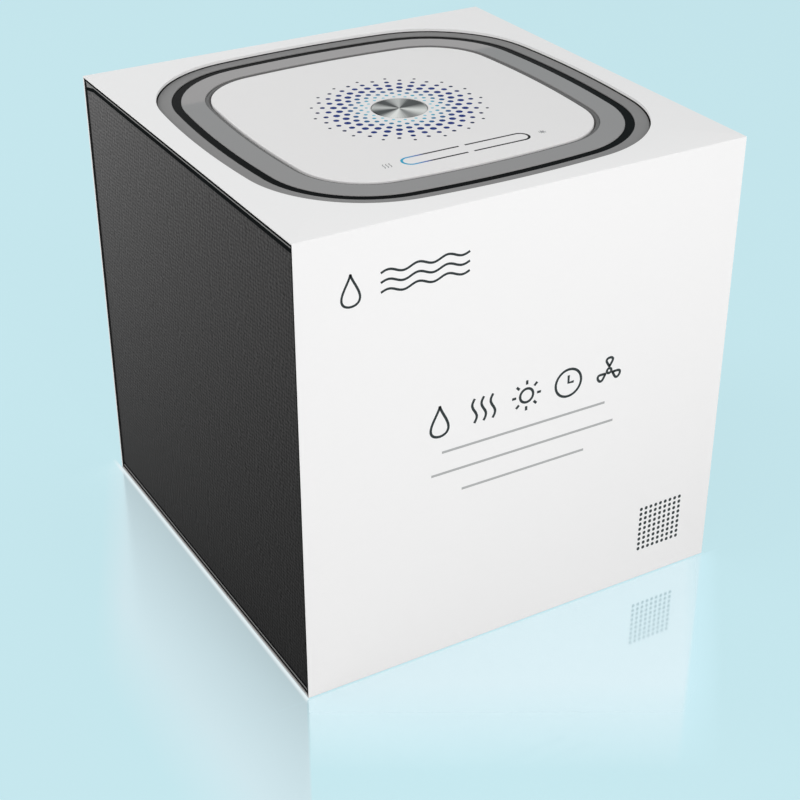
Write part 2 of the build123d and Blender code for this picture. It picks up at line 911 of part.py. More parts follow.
def chamber_ceiling():
    """Plate between the chamber and the works, with outlet slots, the lamp opening and rails."""
    body = slab(ceiling_half_width, ceiling_z, ceiling_top_z)
    slots = int(heater_half // outlet_pitch)
    reach = heater_half - outlet_margin
    through = past(ceiling_z, ceiling_top_z)
    for index in range(-slots, slots + 1):
        x = index * outlet_pitch
        across = (x - outlet_slot / 2, x + outlet_slot / 2)
        body -= block(across, (fan_centre_y - reach, fan_centre_y + reach), through)
    body -= rod(0, lamp_centre_y, lamp_opening_radius, *through)
    window_z = (ceiling_z - overrun, ceiling_z + lamp_window_thickness)
    body -= rod(0, lamp_centre_y, lamp_window_radius + seat_gap, *window_z)
    body -= rod(probe_x, probe_y, probe_radius + seat_gap, *through)
    for x, y in corners(boss_x, boss_y):
        body -= rod(x, y, screw_clear_radius, *through)
    for x, y in fan_screw_places():
        body -= rod(x, y, screw_hole_radius, *through)
    filter_front_y = filter_rear_y - filter_thickness
    rail_z = (ceiling_top_z, ceiling_top_z + filter_rail_height)
    for rail_y in (filter_rear_y + seat_gap, filter_front_y - filter_rail - seat_gap):
        body += block(filter_span(), (rail_y, rail_y + filter_rail), rail_z)
    half = jack_body_size / 2
    stand_z = (ceiling_top_z, jack_z - half)
    return body + block((jack_x - half, jack_x + half), (jack_back_y, jack_wall_y), stand_z)


def ceiling_screws():
    """Screws from the chamber up into the hood's bosses."""
    return group(screw(x, y, ceiling_z, screw_length) for x, y in corners(boss_x, boss_y))


def intake_filter():
    """Foam pad behind the intake slots."""
    top = ceiling_top_z + vent_bottom_rise + vent_height + filter_margin
    return block(filter_span(), (filter_rear_y - filter_thickness, filter_rear_y), (ceiling_top_z, top))


# ---------------------------------------------------------------------------------------------
# Fan and heater
# ---------------------------------------------------------------------------------------------
def fan_screw_places():
    """Corner screws through the fan and the heater."""
    reach = fan_size / 2 - fan_screw_inset
    return corners(reach, reach, fan_centre_y)


def square_frame(opening, low, high):
    """Square frame of the fan's size with its corner holes."""
    half = fan_size / 2
    body = block((-half, half), (fan_centre_y - half, fan_centre_y + half), (low, high))
    body -= opening
    for x, y in fan_screw_places():
        body -= rod(x, y, screw_clear_radius, *past(low, high))
    return body


def fan_frame():
    """Fan housing with the bearing tube on struts."""
    bore = rod(0, fan_centre_y, fan_bore_radius, *past(heater_top_z, fan_top_z))
    body = square_frame(bore, heater_top_z, fan_top_z)
    body += rod(0, fan_centre_y, hub_radius - hub_floor_step, heater_top_z, stator_z)
    reach = fan_bore_radius + strut_bite
    for step in range(strut_count):
        strut = block((0, reach), (-strut_width / 2, strut_width / 2), (heater_top_z, stator_z))
        body += Pos(0, fan_centre_y, 0) * Rot(0, 0, 360 * (step + 0.5) / strut_count) * strut
    body += rod(0, fan_centre_y, bearing_radius + bearing_wall, heater_top_z, bearing_top_z)
    return body - rod(0, fan_centre_y, bearing_radius, bearing_z, bearing_top_z + overrun)


def fan_bearing():
    """Bush in the bearing tube."""
    return tube(0, fan_centre_y, bearing_radius, shaft_radius + shaft_gap, bearing_z, bearing_top_z)


def fan_stator():
    """Wound teeth around the bearing tube."""
    height = (stator_z, bearing_top_z)
    inner = bearing_radius + bearing_wall
    shoe_ring = tube(0, 0, stator_radius, stator_radius - stator_shoe, *height)
    shoe = shoe_ring & block((0, stator_radius + overrun), (-stator_tooth, stator_tooth), height)
    along = (inner + stator_core / 2, stator_radius - stator_shoe / 2)
    tooth = shoe + block(along, (-stator_tooth / 2, stator_tooth / 2), height)
    body = tube(0, 0, inner + stator_core, inner, *height)
    for step in range(stator_count):
        body += Rot(0, 0, 360 * step / stator_count) * tooth
    return Pos(0, fan_centre_y, 0) * body


def fan_rotor():
    """Hub cup with its twisted blades."""
    low = stator_z + rotor_end_gap
    high = fan_top_z - rotor_end_gap
    body = rod(0, 0, hub_radius, low, high)
    body -= rod(0, 0, hub_radius - hub_wall, low - overrun, high - hub_wall)
    body -= rod(0, 0, shaft_radius, *past(high - hub_wall, high))
    chord = (high - low - blade_margin) / math.sin(math.radians(blade_pitch_angle))
    room = tube(0, 0, rotor_radius, hub_radius - hub_wall / 2, low, high)
    blade = Rot(blade_pitch_angle, 0, 0) * Box(2 * rotor_radius, chord, blade_thickness)
    blade = room & (Pos(rotor_radius, 0, (low + high) / 2) * blade)
    for step in range(blade_count):
        body += Rot(0, 0, 360 * step / blade_count) * blade
    return Pos(0, fan_centre_y, 0) * body


def fan_shaft():
    """Steel shaft fixed in the hub."""
    high = fan_top_z - rotor_end_gap
    return rod(0, fan_centre_y, shaft_radius, bearing_z + shaft_end_gap, high)


def heater_frame():
    """Frame around the heater's fins."""
    across = (fan_centre_y - heater_half, fan_centre_y + heater_half)
    window = block((-heater_half, heater_half), across, past(ceiling_top_z, heater_top_z))
    return square_frame(window, ceiling_top_z, heater_top_z)


def bar_places():
    """Y places of the heating bars."""
    pitch = 2 * heater_half / (heater_bar_count + 1)
    return [fan_centre_y - heater_half + pitch * (step + 1) for step in range(heater_bar_count)]


def heater_bars():
    """Ceramic heating bars across the frame."""
    length = (-heater_half, heater_half)
    width = heater_bar_width / 2
    height = (ceiling_top_z, heater_top_z)
    return group(block(length, (y - width, y + width), height) for y in bar_places())


def heater_fins():
    """Thin fins between the bars and the frame."""
    width = heater_bar_width / 2
    stops = [fan_centre_y - heater_half]
    for y in bar_places():
        stops += [y - width, y + width]
    stops.append(fan_centre_y + heater_half)
    height = (ceiling_top_z + fin_end_gap, heater_top_z - fin_end_gap)
    count = int((heater_half - fin_thickness) // fin_pitch)
    solids = []
    for low_y, high_y in zip(stops[::2], stops[1::2]):
        for index in range(-count, count + 1):
            x = index * fin_pitch
            across = (x - fin_thickness / 2, x + fin_thickness / 2)
            solids.append(block(across, (low_y, high_y), height))
    return group(solids)


def fan_screws():
    """Long screws from above through fan and heater into the ceiling."""
    length = fan_top_z - ceiling_z - fan_screw_spare
    return group(screw(x, y, fan_top_z, length, up=False) for x, y in fan_screw_places())


# ---------------------------------------------------------------------------------------------
# Ultraviolet lamp and probe
# ---------------------------------------------------------------------------------------------
def uv_board():
    """Aluminium board over the lamp opening."""
    half = lamp_board_size / 2
    return block(
        (-half, half),
        (lamp_centre_y - half, lamp_centre_y + half),
        (ceiling_top_z, ceiling_top_z + lamp_board_thickness),
    )


def uv_leds():
    """Four lamps that look down through the window."""
    half = lamp_led_size / 2
    span = (ceiling_top_z - lamp_led_height, ceiling_top_z)
    reach = lamp_led_pitch / 2
    places = corners(reach, reach, lamp_centre_y)
    return group(block((x - half, x + half), (y - half, y + half), span) for x, y in places)


def uv_window():
    """Clear quartz disc in the ceiling."""
    return rod(0, lamp_centre_y, lamp_window_radius, ceiling_z, ceiling_z + lamp_window_thickness)


def uv_heat_sink():
    """Finned block on the lamp board."""
    half = sink_width / 2
    reach = lamp_board_size / 2
    low = ceiling_top_z + lamp_board_thickness
    along = (lamp_centre_y - reach, lamp_centre_y + reach)
    body = block((-half, half), along, (low, low + sink_base))
    count = int((half - sink_fin_thickness / 2) // sink_fin_pitch)
    top = low + sink_base + sink_fin_height
    for index in range(-count, count + 1):
        x = index * sink_fin_pitch
        body += block((x - sink_fin_thickness / 2, x + sink_fin_thickness / 2), along, (low, top))
    return body


def temperature_probe():
    """Small probe through the ceiling."""
    tip = rod(probe_x, probe_y, probe_radius, ceiling_z - probe_length, ceiling_top_z)
    tip = fillet(tip.faces().sort_by(Axis.Z)[0].edges(), probe_tip_radius)
    collar_top_z = ceiling_top_z + probe_collar_height
    return tip + rod(probe_x, probe_y, probe_radius + probe_collar, ceiling_top_z, collar_top_z)


# ---------------------------------------------------------------------------------------------
# Power inlet and leads
# ---------------------------------------------------------------------------------------------
def dc_jack():
    """Power inlet: square body, round barrel through the wall, bore and centre pin."""
    half = jack_body_size / 2
    across = (jack_x - half, jack_x + half)
    floor_y = jack_mouth_y - jack_bore_depth
    body = block(across, (jack_back_y, jack_wall_y), (jack_z - half, jack_z + half))
    body += level_rod(jack_x, jack_z, jack_barrel_radius, jack_back_y, jack_mouth_y)
    body -= level_rod(jack_x, jack_z, jack_bore_radius, floor_y, jack_mouth_y + overrun)
    pin = (floor_y - jack_pin_root, jack_mouth_y - jack_pin_sink)
    return body + level_rod(jack_x, jack_z, jack_pin_radius, *pin)


def lead(points, bends):
    """Round lead along straight runs joined by tangent arcs."""
    path = FilletPolyline(*points, radius=bends)
    start = Plane(path @ 0, z_dir=path % 0)
    return sweep(start * Circle(lead_radius), path=path)


def socket_end(lead_name):
    """Last two points of a lead: below its socket, then up into the socket's mouth."""
    x = socket_x(lead_name)
    low = board_z - socket_height
    return [(x, socket_y, low - lead_drop), (x, socket_y, low + socket_depth)]


def power_lead():
    """Lead from the inlet past the fan to its socket."""
    start = [
        (lead_side_x, jack_back_y, jack_z),
        (lead_side_x, jack_back_y - lead_straight, jack_z),
        (lead_side_x, fan_front_y, jack_z - lead_drop),
    ]
    return lead(start + socket_end("power"), [lead_bend, lead_bend, lead_end_bend])


def lamp_lead():
    """Lead from the lamp board to its socket."""
    x = (lamp_board_size + sink_width) / 4
    y = lamp_centre_y + lamp_board_size / 2 - lamp_lead_inset
    low = ceiling_top_z + lamp_board_thickness
    end = socket_end("lamp")
    start = [(x, y, low), (x, y, low + lead_drop), (x, socket_y, end[0][2])]
    return lead(start + end, [lead_end_bend] * 3)


def frame_lead(lead_name, start_z):
    """Lead from the front face of the fan or the heater to its socket."""
    end = socket_end(lead_name)
    x = end[0][0]
    return lead([(x, fan_front_y, start_z), (x, socket_y, start_z), end[1]], [lead_end_bend])


NODES = {
    "outer_sleeve": outer_sleeve,
    "box_base_board": lambda: box_sheet(board_half_run, floor_z, base_board_z),
    "lower_edge_board": lambda: box_sheet(edge_half_length, base_board_z, riser_z),
    "box_walls": lambda: box_frame(wall_half_length, riser_z, wall_top_z),
    "upper_edge_board": lambda: box_frame(edge_half_length, wall_top_z, rim_cover_z),
    "box_rim_cover": lambda: box_frame(board_half_run, rim_cover_z, dryer_top_z),
    "riser": riser,
    "cradle": cradle,
    "base_tray": base_tray,
    "base_deck": base_deck,
    "base_weight": base_weight,
    "drying_mat": drying_mat,
    "rubber_feet": rubber_feet,
    "base_screws": base_screws,
    "hood_shell": hood_shell,
    "rim_seal": rim_seal,
    "chamber_liner": chamber_liner,
    "trim_ring": trim_ring,
    "gloss_bezel": gloss_bezel,
    "bevel_ring": bevel_ring,
    "top_plate": top_plate,
    "dot_light_guide": dot_light_guide,
    "heat_light_line": lambda: line_light_guide(-1),
    "lamp_light_line": lambda: line_light_guide(1),
    "button_disc": button_disc,
    "button_plunger": button_plunger,
    "button_guide": button_guide,
    "button_spring": button_spring,
    "tact_switch": tact_switch,
    "led_board": led_board,
    "indicator_leds": indicator_leds,
    "board_spacers": board_spacers,
    "control_board": control_board,
    "board_screws": board_screws,
    "control_chip": control_chip,
    "capacitors": capacitors,
    "board_sockets": board_sockets,
    "chamber_ceiling": chamber_ceiling,
    "ceiling_screws": ceiling_screws,
    "intake_filter": intake_filter,
    "fan_frame": fan_frame,
    "fan_bearing": fan_bearing,
    "fan_stator": fan_stator,
    "fan_rotor": fan_rotor,
    "fan_shaft": fan_shaft,
    "heater_frame": heater_frame,
    "heater_bars": heater_bars,
    "heater_fins": heater_fins,
    "fan_screws": fan_screws,
    "uv_board": uv_board,
    "uv_leds": uv_leds,
    "uv_window": uv_window,
    "uv_heat_sink": uv_heat_sink,
    "temperature_probe": temperature_probe,
    "dc_jack": dc_jack,
    "power_lead": power_lead,
    "lamp_lead": lamp_lead,
    "fan_lead": lambda: frame_lead("fan", heater_top_z + lead_radius),
    "heater_lead": lambda: frame_lead("heater", ceiling_top_z + heater_depth / 2),
}

os.makedirs("parts", exist_ok=True)
for node, build in NODES.items():
    save(node, build())
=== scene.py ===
"""Boxed hearing aid dryer: its finishes, printed marks and fine pieces, and a plain studio.

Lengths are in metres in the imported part's own frame: X to the right, Y to the back, Z up. Sizes that a
maker would read in millimetres are written as a number times MM.
"""

import logging
import math
from dataclasses import dataclass
from enum import Enum
from functools import reduce
from typing import Any, Sequence

import bpy
import numpy as np
from mathutils import Matrix, Vector


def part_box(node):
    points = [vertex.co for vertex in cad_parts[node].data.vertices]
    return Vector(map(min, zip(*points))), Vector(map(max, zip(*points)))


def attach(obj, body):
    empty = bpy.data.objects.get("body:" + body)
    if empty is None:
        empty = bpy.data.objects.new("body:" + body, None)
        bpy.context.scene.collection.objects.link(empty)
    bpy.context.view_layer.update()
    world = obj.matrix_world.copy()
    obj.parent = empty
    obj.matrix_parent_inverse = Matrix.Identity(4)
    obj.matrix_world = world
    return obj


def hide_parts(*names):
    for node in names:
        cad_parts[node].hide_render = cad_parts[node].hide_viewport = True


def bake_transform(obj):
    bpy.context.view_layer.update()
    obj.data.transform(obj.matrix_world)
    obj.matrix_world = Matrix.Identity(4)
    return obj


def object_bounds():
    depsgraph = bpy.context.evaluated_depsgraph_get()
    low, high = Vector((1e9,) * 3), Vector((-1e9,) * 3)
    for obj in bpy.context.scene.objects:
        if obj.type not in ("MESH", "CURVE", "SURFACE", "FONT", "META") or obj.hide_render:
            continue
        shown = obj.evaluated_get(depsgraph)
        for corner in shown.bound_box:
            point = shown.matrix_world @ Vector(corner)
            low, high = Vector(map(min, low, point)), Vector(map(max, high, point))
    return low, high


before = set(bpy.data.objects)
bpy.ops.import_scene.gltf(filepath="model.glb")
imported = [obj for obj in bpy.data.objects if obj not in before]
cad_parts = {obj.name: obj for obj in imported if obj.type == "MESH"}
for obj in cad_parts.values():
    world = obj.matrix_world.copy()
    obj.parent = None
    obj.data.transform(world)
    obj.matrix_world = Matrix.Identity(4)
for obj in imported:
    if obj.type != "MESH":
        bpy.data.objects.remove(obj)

CAD_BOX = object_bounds()
MM = 0.001
INK = 0.05 * MM  # thickness of print, kept free on the sleeve's front and back
LOG = logging.getLogger("boxed_dryer")
TINY = 1e-9
Colour = tuple[float, float, float]
Inputs = dict[str, Any]
Place = Sequence[float]
Socket = bpy.types.NodeSocket
WHITE = (1.0, 1.0, 1.0, 1.0)


# ------------------------------------------------------------------------------------------------
# Materials
# ------------------------------------------------------------------------------------------------
class Recipe:
    """Builder of a node tree. Places are read in the object's own coordinates."""

    MIX_INPUTS = (0, 6, 7)
    MIX_OUTPUT = 2
    NOISE_ROUGHNESS = 0.55

    def __init__(self, tree: bpy.types.NodeTree) -> None:
        """Empty a node tree, and start it anew.

        Args:
            tree: Node tree of a material or of the world.
        """
        self.tree = tree
        self.tree.nodes.clear()
        self.place = self.add("ShaderNodeTexCoord").outputs["Object"]

    def add(self, kind: str, inputs: dict[Any, Any] | None = None, **settings: Any) -> bpy.types.Node:
        """Add a node.

        Args:
            kind: Blender's name of the node type.
            inputs: Value or socket for each named input.
            settings: Attributes of the node.

        Returns:
            The new node.
        """
        made = self.tree.nodes.new(kind)
        for key, value in settings.items():
            setattr(made, key, value)
        for key, value in (inputs or {}).items():
            self.feed(made.inputs[key], value)
        return made

    def feed(self, target: Socket, value: Any) -> None:
        """Link a socket to an input, or set the input's own value.

        Args:
            target: Input of a node.
            value: Socket, number, vector or colour.
        """
        if isinstance(value, bpy.types.NodeSocket):
            self.tree.links.new(value, target)
        else:
            target.default_value = value

    def maths(self, operation: str, first: Any, second: Any = 0.0, third: Any = 0.0) -> Socket:
        """Result of one arithmetic step on numbers or sockets."""
        inputs = {0: first, 1: second, 2: third}
        return self.add("ShaderNodeMath", inputs, operation=operation).outputs[0]

    def product(self, *values: Any) -> Socket:
        """All values times one another."""
        return reduce(lambda first, second: self.maths("MULTIPLY", first, second), values)

    def sum_of(self, value: Any, factor: Any, base: Any) -> Socket:
        """A base plus a value times a factor."""
        return self.maths("MULTIPLY_ADD", value, factor, base)

    def past(self, value: Any, limit: Any) -> Socket:
        """How far a value is past a limit, and zero before it."""
        return self.maths("MAXIMUM", self.maths("SUBTRACT", value, limit), 0.0)

    def rest(self, share: Socket) -> Socket:
        """One less a share."""
        return self.maths("SUBTRACT", 1.0, share)

    def between(self, value: Socket, low: float, high: float) -> Socket:
        """A value from 0 to 1 spread over another range."""
        inputs = {"Value": value, "To Min": low, "To Max": high}
        return self.add("ShaderNodeMapRange", inputs).outputs[0]

    def spread(self, value: Socket, low: float, high: float) -> Socket:
        """A range of a value spread over 0 to 1."""
        inputs = {"Value": value, "From Min": low, "From Max": high}
        return self.add("ShaderNodeMapRange", inputs).outputs[0]

    def fall(self, value: Socket, start: float, end: float) -> Socket:
        """One up to a start, falling evenly to zero at an end."""
        return self.rest(self.spread(value, start, end))

    def axes(self) -> Sequence[Socket]:
        """Sockets of the X, Y and Z places."""
        return self.add("ShaderNodeSeparateXYZ", {0: self.place}).outputs

    def stretched(self, scale: Sequence[float]) -> Socket:
        """Place, scaled along each axis."""
        return self.add("ShaderNodeMapping", {"Vector": self.place, "Scale": scale}).outputs[0]

    def noise(self, scale: float, layers: float = 2.0, vector: Socket | None = None) -> Socket:
        """Cloudy noise between 0 and 1.

        Args:
            scale: Number of clouds in a metre.
            layers: Number of finer layers.
            vector: Place to read, if not the object's own.

        Returns:
            The noise's value.
        """
        inputs = {"Vector": vector or self.place, "Scale": scale, "Detail": layers}
        inputs["Roughness"] = self.NOISE_ROUGHNESS
        return self.add("ShaderNodeTexNoise", inputs).outputs[0]

    def cells(self, size: float, disorder: float = 1.0, **settings: Any) -> Socket:
        """Distance from the middle of the nearest cell."""
        inputs = {"Vector": self.place, "Scale": 1 / size, "Randomness": disorder}
        return self.add("ShaderNodeTexVoronoi", inputs, **settings).outputs["Distance"]

    def ramp(self, value: Socket, stops: Sequence[tuple[float, Colour]]) -> Socket:
        """Colour read from a row of stops.

        Args:
            value: Where to read, from 0 to 1.
            stops: Position and colour of each stop, from the lowest.

        Returns:
            The colour.
        """
        node = self.add("ShaderNodeValToRGB", {0: value})
        while len(node.color_ramp.elements) < len(stops):
            node.color_ramp.elements.new(1.0)
        for element, (position, colour) in zip(node.color_ramp.elements, stops):
            element.position = position
            element.color = (*colour, 1.0)
        return node.outputs[0]

    def blend(self, share: Any, first: Any, second: Any) -> Socket:
        """Colour between two colours.

        Args:
            share: Share of the second colour.
            first: First colour.
            second: Second colour.

        Returns:
            The mixed colour.
        """
        node = self.add("ShaderNodeMix", data_type="RGBA")
        for index, value in zip(self.MIX_INPUTS, (share, first, second)):
            self.feed(node.inputs[index], self.opaque(value))
        return node.outputs[self.MIX_OUTPUT]

    @staticmethod
    def opaque(value: Any) -> Any:
        """A colour of three numbers with full alpha; anything else as it is."""
        return (*value, 1.0) if isinstance(value, tuple) and len(value) == 3 else value

    def scaled(self, colour: Socket, factor: Socket) -> Socket:
        """A colour times a number."""
        node = self.add("ShaderNodeVectorMath", {0: colour, "Scale": factor}, operation="SCALE")
        return node.outputs[0]

    def relief(self, height: Socket, depth: float) -> Socket:
        """Normal of a surface whose height is a socket from 0 to 1, of a real depth in metres."""
        return self.add("ShaderNodeBump", {"Strength": 1.0, "Distance": depth, "Height": height}).outputs[0]

    def shader(self, kind: str, inputs: dict[Any, Any]) -> Socket:
        """Output of a shader node; colours of three numbers are made opaque."""
        whole = {key: self.opaque(value) for key, value in inputs.items()}
        return self.add("ShaderNode" + kind, whole).outputs[0]

    def seen(self) -> Socket:
        """One where the camera, gloss or glass looks at the surface, and zero where light bounces.

        Returns:
            The share.
        """
        path = self.add("ShaderNodeLightPath").outputs
        mirrored = self.maths("MAXIMUM", path["Is Glossy Ray"], path["Is Transmission Ray"])
        return self.maths("MAXIMUM", path["Is Camera Ray"], mirrored)


def new_material(name: str) -> tuple[bpy.types.Material, Recipe]:
    """Empty material.

    Args:
        name: Name of the material.

    Returns:
        The material, and the builder of its nodes.
    """
    material = bpy.data.materials.new(name)
    material.use_nodes = True
    return material, Recipe(material.node_tree)


@dataclass(frozen=True)
class Finish:
    """A surface finish, and what all finishes share.

    Fields: name of the material; colour in linear light; roughness; share of metal; share of clear coat;
    specular level; share that the colour varies; size of the variation; depth of the relief; roughness of
    the coat; finer layers of the clouds; worn patches in a cloud; share that a pattern varies the
    roughness.
    """

    name: str
    colour: Colour
    roughness: float = 0.5
    metallic: float = 0.0
    coat: float = 0.0
    specular: float = 0.5
    vary: float = 0.06
    patch: float = 12 * MM
    depth: float = 0.0
    coat_roughness: float = 0.06
    cloud_layers: float = 4.0
    worn_patches: float = 0.6
    rough_share: float = 0.3

    def material(self) -> bpy.types.Material:
        """The material, made once and then shared.

        Returns:
            The material.
        """
        known = bpy.data.materials.get(self.name)
        if known is not None:
            return known
        material, recipe = new_material(self.name)
        settings = {
            "Metallic": self.metallic,
            "Coat Weight": self.coat,
            "Coat Roughness": self.coat_roughness,
            "Specular IOR Level": self.specular,
        }
        settings.update(self.pattern(recipe))
        for key, maker in (("Base Color", self.mottled), ("Roughness", self.worn)):
            if key not in settings:
                settings[key] = maker(recipe)
        shader = recipe.shader("BsdfPrincipled", settings)
        recipe.add("ShaderNodeOutputMaterial", {"Surface": shader})
        return material

    def shades(self) -> tuple[Colour, Colour]:
        """Darkest and lightest colour of the variation."""
        low, high = 1.0 - self.vary, 1.0 + self.vary
        return tuple(c * low for c in self.colour), tuple(min(1.0, c * high) for c in self.colour)

    def mottled(self, recipe: Recipe) -> Socket:
        """Colour with soft clouds."""
        return recipe.blend(recipe.noise(1 / self.patch, self.cloud_layers), *self.shades())

    def worn(self, recipe: Recipe) -> Socket:
        """Roughness with soft clouds, which vary it twice as much as the colour."""
        low, high = (self.roughness * (1 + side * 2 * self.vary) for side in (-1, 1))
        return recipe.between(recipe.noise(self.worn_patches / self.patch), low, min(1.0, high))

    def formed(self, recipe: Recipe, shade: Socket, height: Socket | None = None) -> Inputs:
        """Colour that follows a shade, and relief that follows a height or that same shade."""
        colour = recipe.blend(shade, *self.shades())
        return {"Base Color": colour, "Normal": recipe.relief(height or shade, self.depth)}

    def roughened(self, recipe: Recipe, lines: Socket) -> Socket:
        """Roughness that follows a pattern."""
        low, high = (self.roughness * (1 + side * self.rough_share) for side in (-1, 1))
        return recipe.between(lines, low, high)

    def pattern(self, recipe: Recipe) -> Inputs:
        """Inputs of the shader that one kind of finish adds or changes."""
        return {}


@dataclass(frozen=True)
class Moulded(Finish):
    """Moulded plastic or rubber with a fine spark-eroded grain.

    Fields: size of the grain, and its finer layers.
    """

    grain: float = 0.35 * MM
    grain_layers: float = 3.0

    def pattern(self, recipe: Recipe) -> Inputs:
        """Fine grain as relief."""
        return {"Normal": recipe.relief(recipe.noise(1 / self.grain, self.grain_layers), self.depth)}


@dataclass(frozen=True)
class Board(Finish):
    """Board or paper: short fibres that lie mostly along one axis.

    Fields: how thin the fibres are along each axis; fibres in a metre, and their finer layers.
    """

    roughness: float = 0.85
    specular: float = 0.03
    vary: float = 0.08
    depth: float = 0.02 * MM
    fibre: Sequence[float] = (1.0, 4.0, 4.0)
    fibre_scale: float = 260.0
    fibre_layers: float = 4.0

    def pattern(self, recipe: Recipe) -> Inputs:
        """Fibres as relief and as a faint change of colour."""
        fibres = recipe.noise(self.fibre_scale, self.fibre_layers, recipe.stretched(self.fibre))
        return self.formed(recipe, fibres)


@dataclass(frozen=True)
class Linen(Finish):
    """Paper embossed like linen: upright and level threads that pass over and under one another.

    The threads lie side by side as half waves, wandering a little. At each crossing the sign of the two
    waves' product says which one lies on top. Painted shade lies over the colour: it grows lighter by the
    same factor for each step to the back and to the top, so the bottom front is darkest.

    Fields: width of an upright and of a level thread; how far a thread wanders, in radians, and a level
    one's share of that; bends in a worn patch; size of a worn patch; mean height of a thread, and what a
    crossing adds or takes; height that wear leaves alone; range of the patches, and strength of the weave
    that each end of it has; growth of the painted shade, as a power of e, for a metre back and for a metre
    up, and its value at the foot of the middle.
    """

    upright: float = 1.9 * MM
    level: float = 1.5 * MM
    wander: float = 8.0
    level_share: float = 0.6
    bends: float = 0.5
    patch: float = 3.2 * MM
    mean_height: float = 0.6
    crossing: float = 0.4
    still: float = 0.5
    patch_range: tuple[float, float] = (0.35, 0.65)
    worn_range: tuple[float, float] = (0.5, 1.6)
    painted_shade_back: float = 4.03
    painted_shade_up: float = 5.60
    painted_shade_foot: float = -0.254

    def thread(self, recipe: Recipe, along: Socket, width: float, bend: Socket) -> Socket:
        """Wave whose every half is one thread of a width."""
        return recipe.maths("SINE", recipe.sum_of(bend, self.wander, recipe.product(along, math.pi / width)))

    def weave(self, recipe: Recipe, around: Socket, z: Socket) -> Socket:
        """Height of the paper.

        Args:
            recipe: Builder of the material.
            around: Place round the walls.
            z: Height on the walls.

        Returns:
            Height from 0 to 1.
        """
        flat = recipe.add("ShaderNodeCombineXYZ", {0: around, 2: z}).outputs[0]
        patches = recipe.noise(1 / self.patch, vector=flat)
        bend = recipe.noise(self.bends / self.patch, 1.0, flat)
        upright = self.thread(recipe, around, self.upright, bend)
        level = self.thread(recipe, z, self.level, recipe.product(patches, self.level_share))
        over = recipe.product(upright, level)
        tops = [
            recipe.product(recipe.maths("ABSOLUTE", wave), recipe.sum_of(over, side, self.mean_height))
            for wave, side in ((upright, self.crossing), (level, -self.crossing))
        ]
        worn = recipe.between(recipe.spread(patches, *self.patch_range), *self.worn_range)
        crest = recipe.maths("SUBTRACT", recipe.maths("MAXIMUM", *tops), self.still)
        return recipe.sum_of(crest, worn, self.still)

    def pattern(self, recipe: Recipe) -> Inputs:
        """Weave as relief and shade, under painted shade that is darkest at the bottom front. The threads run
        round the walls, so their place is X plus Y, and Z.

        Args:
            recipe: Builder of the material.

        Returns:
            Inputs of the shader.
        """
        x, y, z = recipe.axes()
        inputs = self.formed(recipe, self.weave(recipe, recipe.maths("ADD", x, y), z))
        # Painted shade: the colour is scaled lighter towards the back and the top, darker at the bottom
        # front.
        painted_shade_exponent = recipe.sum_of(y, self.painted_shade_back, recipe.sum_of(z, self.painted_shade_up, self.painted_shade_foot))
        inputs["Base Color"] = recipe.scaled(inputs["Base Color"], recipe.maths("EXPONENT", painted_shade_exponent))
        inputs["Roughness"] = self.roughness
        return inputs


class BrushWay(Enum):
    """Way that a metal's brush lines run: the scale of the noise along X, Y and Z."""

    ALONG_X = (40.0, 3000.0, 3000.0)
    ALONG_Y = (3000.0, 40.0, 3000.0)
    ALONG_Z = (3000.0, 3000.0, 40.0)


@dataclass(frozen=True)
class Brushed(Finish):
    """Metal brushed or drawn one way, with finer layers in its lines."""

    metallic: float = 1.0
    way: BrushWay = BrushWay.ALONG_Z
    line_layers: float = 3.0

    def pattern(self, recipe: Recipe) -> Inputs:
        """Long fine lines in colour, roughness and relief."""
        lines = recipe.noise(1.0, self.line_layers, recipe.stretched(self.way.value))
        return {**self.formed(recipe, lines), "Roughness": self.roughened(recipe, lines)}


@dataclass(frozen=True)
class Turned(Finish):
    """Metal disc with rays brushed from its middle; bright and dark sectors of painted highlight and shade
    lie in its colour.

    The painted brightness round the disc is a middle value plus a few waves, each the cosine of a whole
    number of turns plus a phase in degrees.

    Fields: number of fine rays, and their finer layers; middle value of the painted brightness, and the
    least one; waves of painted highlight and shade as number of turns, height and phase; strength of the
    fine rays; how far the real highlight is drawn out.
    """

    metallic: float = 0.12
    rays: float = 22.0
    ray_layers: float = 5.0
    middle: float = 0.29
    least: float = 0.03
    waves: Sequence[tuple[int, float, float]] = (
        (1, 0.15, 100.0), (2, 0.09, 150.0), (3, 0.10, 110.0), (4, 0.23, 145.0), (5, 0.11, -30.0)
    )
    ray_share: float = 0.36
    anisotropy: float = 0.85

    def pattern(self, recipe: Recipe) -> Inputs:
        """Sectors of painted highlight and shade and rays in colour, rays in relief, and a real highlight
        that is drawn out around the disc.

        Args:
            recipe: Builder of the material.

        Returns:
            Inputs of the shader.
        """
        x, y, _ = recipe.axes()
        turn = recipe.maths("ARCTAN2", y, x)
        parts = {0: recipe.maths("COSINE", turn), 1: recipe.maths("SINE", turn)}
        around = recipe.add("ShaderNodeCombineXYZ", parts).outputs[0]
        fine = recipe.noise(self.rays, self.ray_layers, around)
        shade = recipe.sum_of(fine, self.ray_share, self.middle - self.ray_share / 2)
        # Painted highlight and shade: each wave adds bright and dark sectors to the colour.
        for count, height, phase in self.waves:
            wave = recipe.maths("COSINE", recipe.sum_of(turn, count, math.radians(phase)))
            shade = recipe.sum_of(wave, height, shade)
        return {
            **self.formed(recipe, recipe.maths("MAXIMUM", shade, self.least), fine),
            "Roughness": self.roughened(recipe, fine),
            "Anisotropic": self.anisotropy,
            "Tangent": recipe.add("ShaderNodeTangent", direction_type="RADIAL", axis="Z").outputs[0],
        }


class RampAxis(Enum):
    """What a colour ramp is read along."""

    RADIUS = "radius"
    ACROSS = "across"


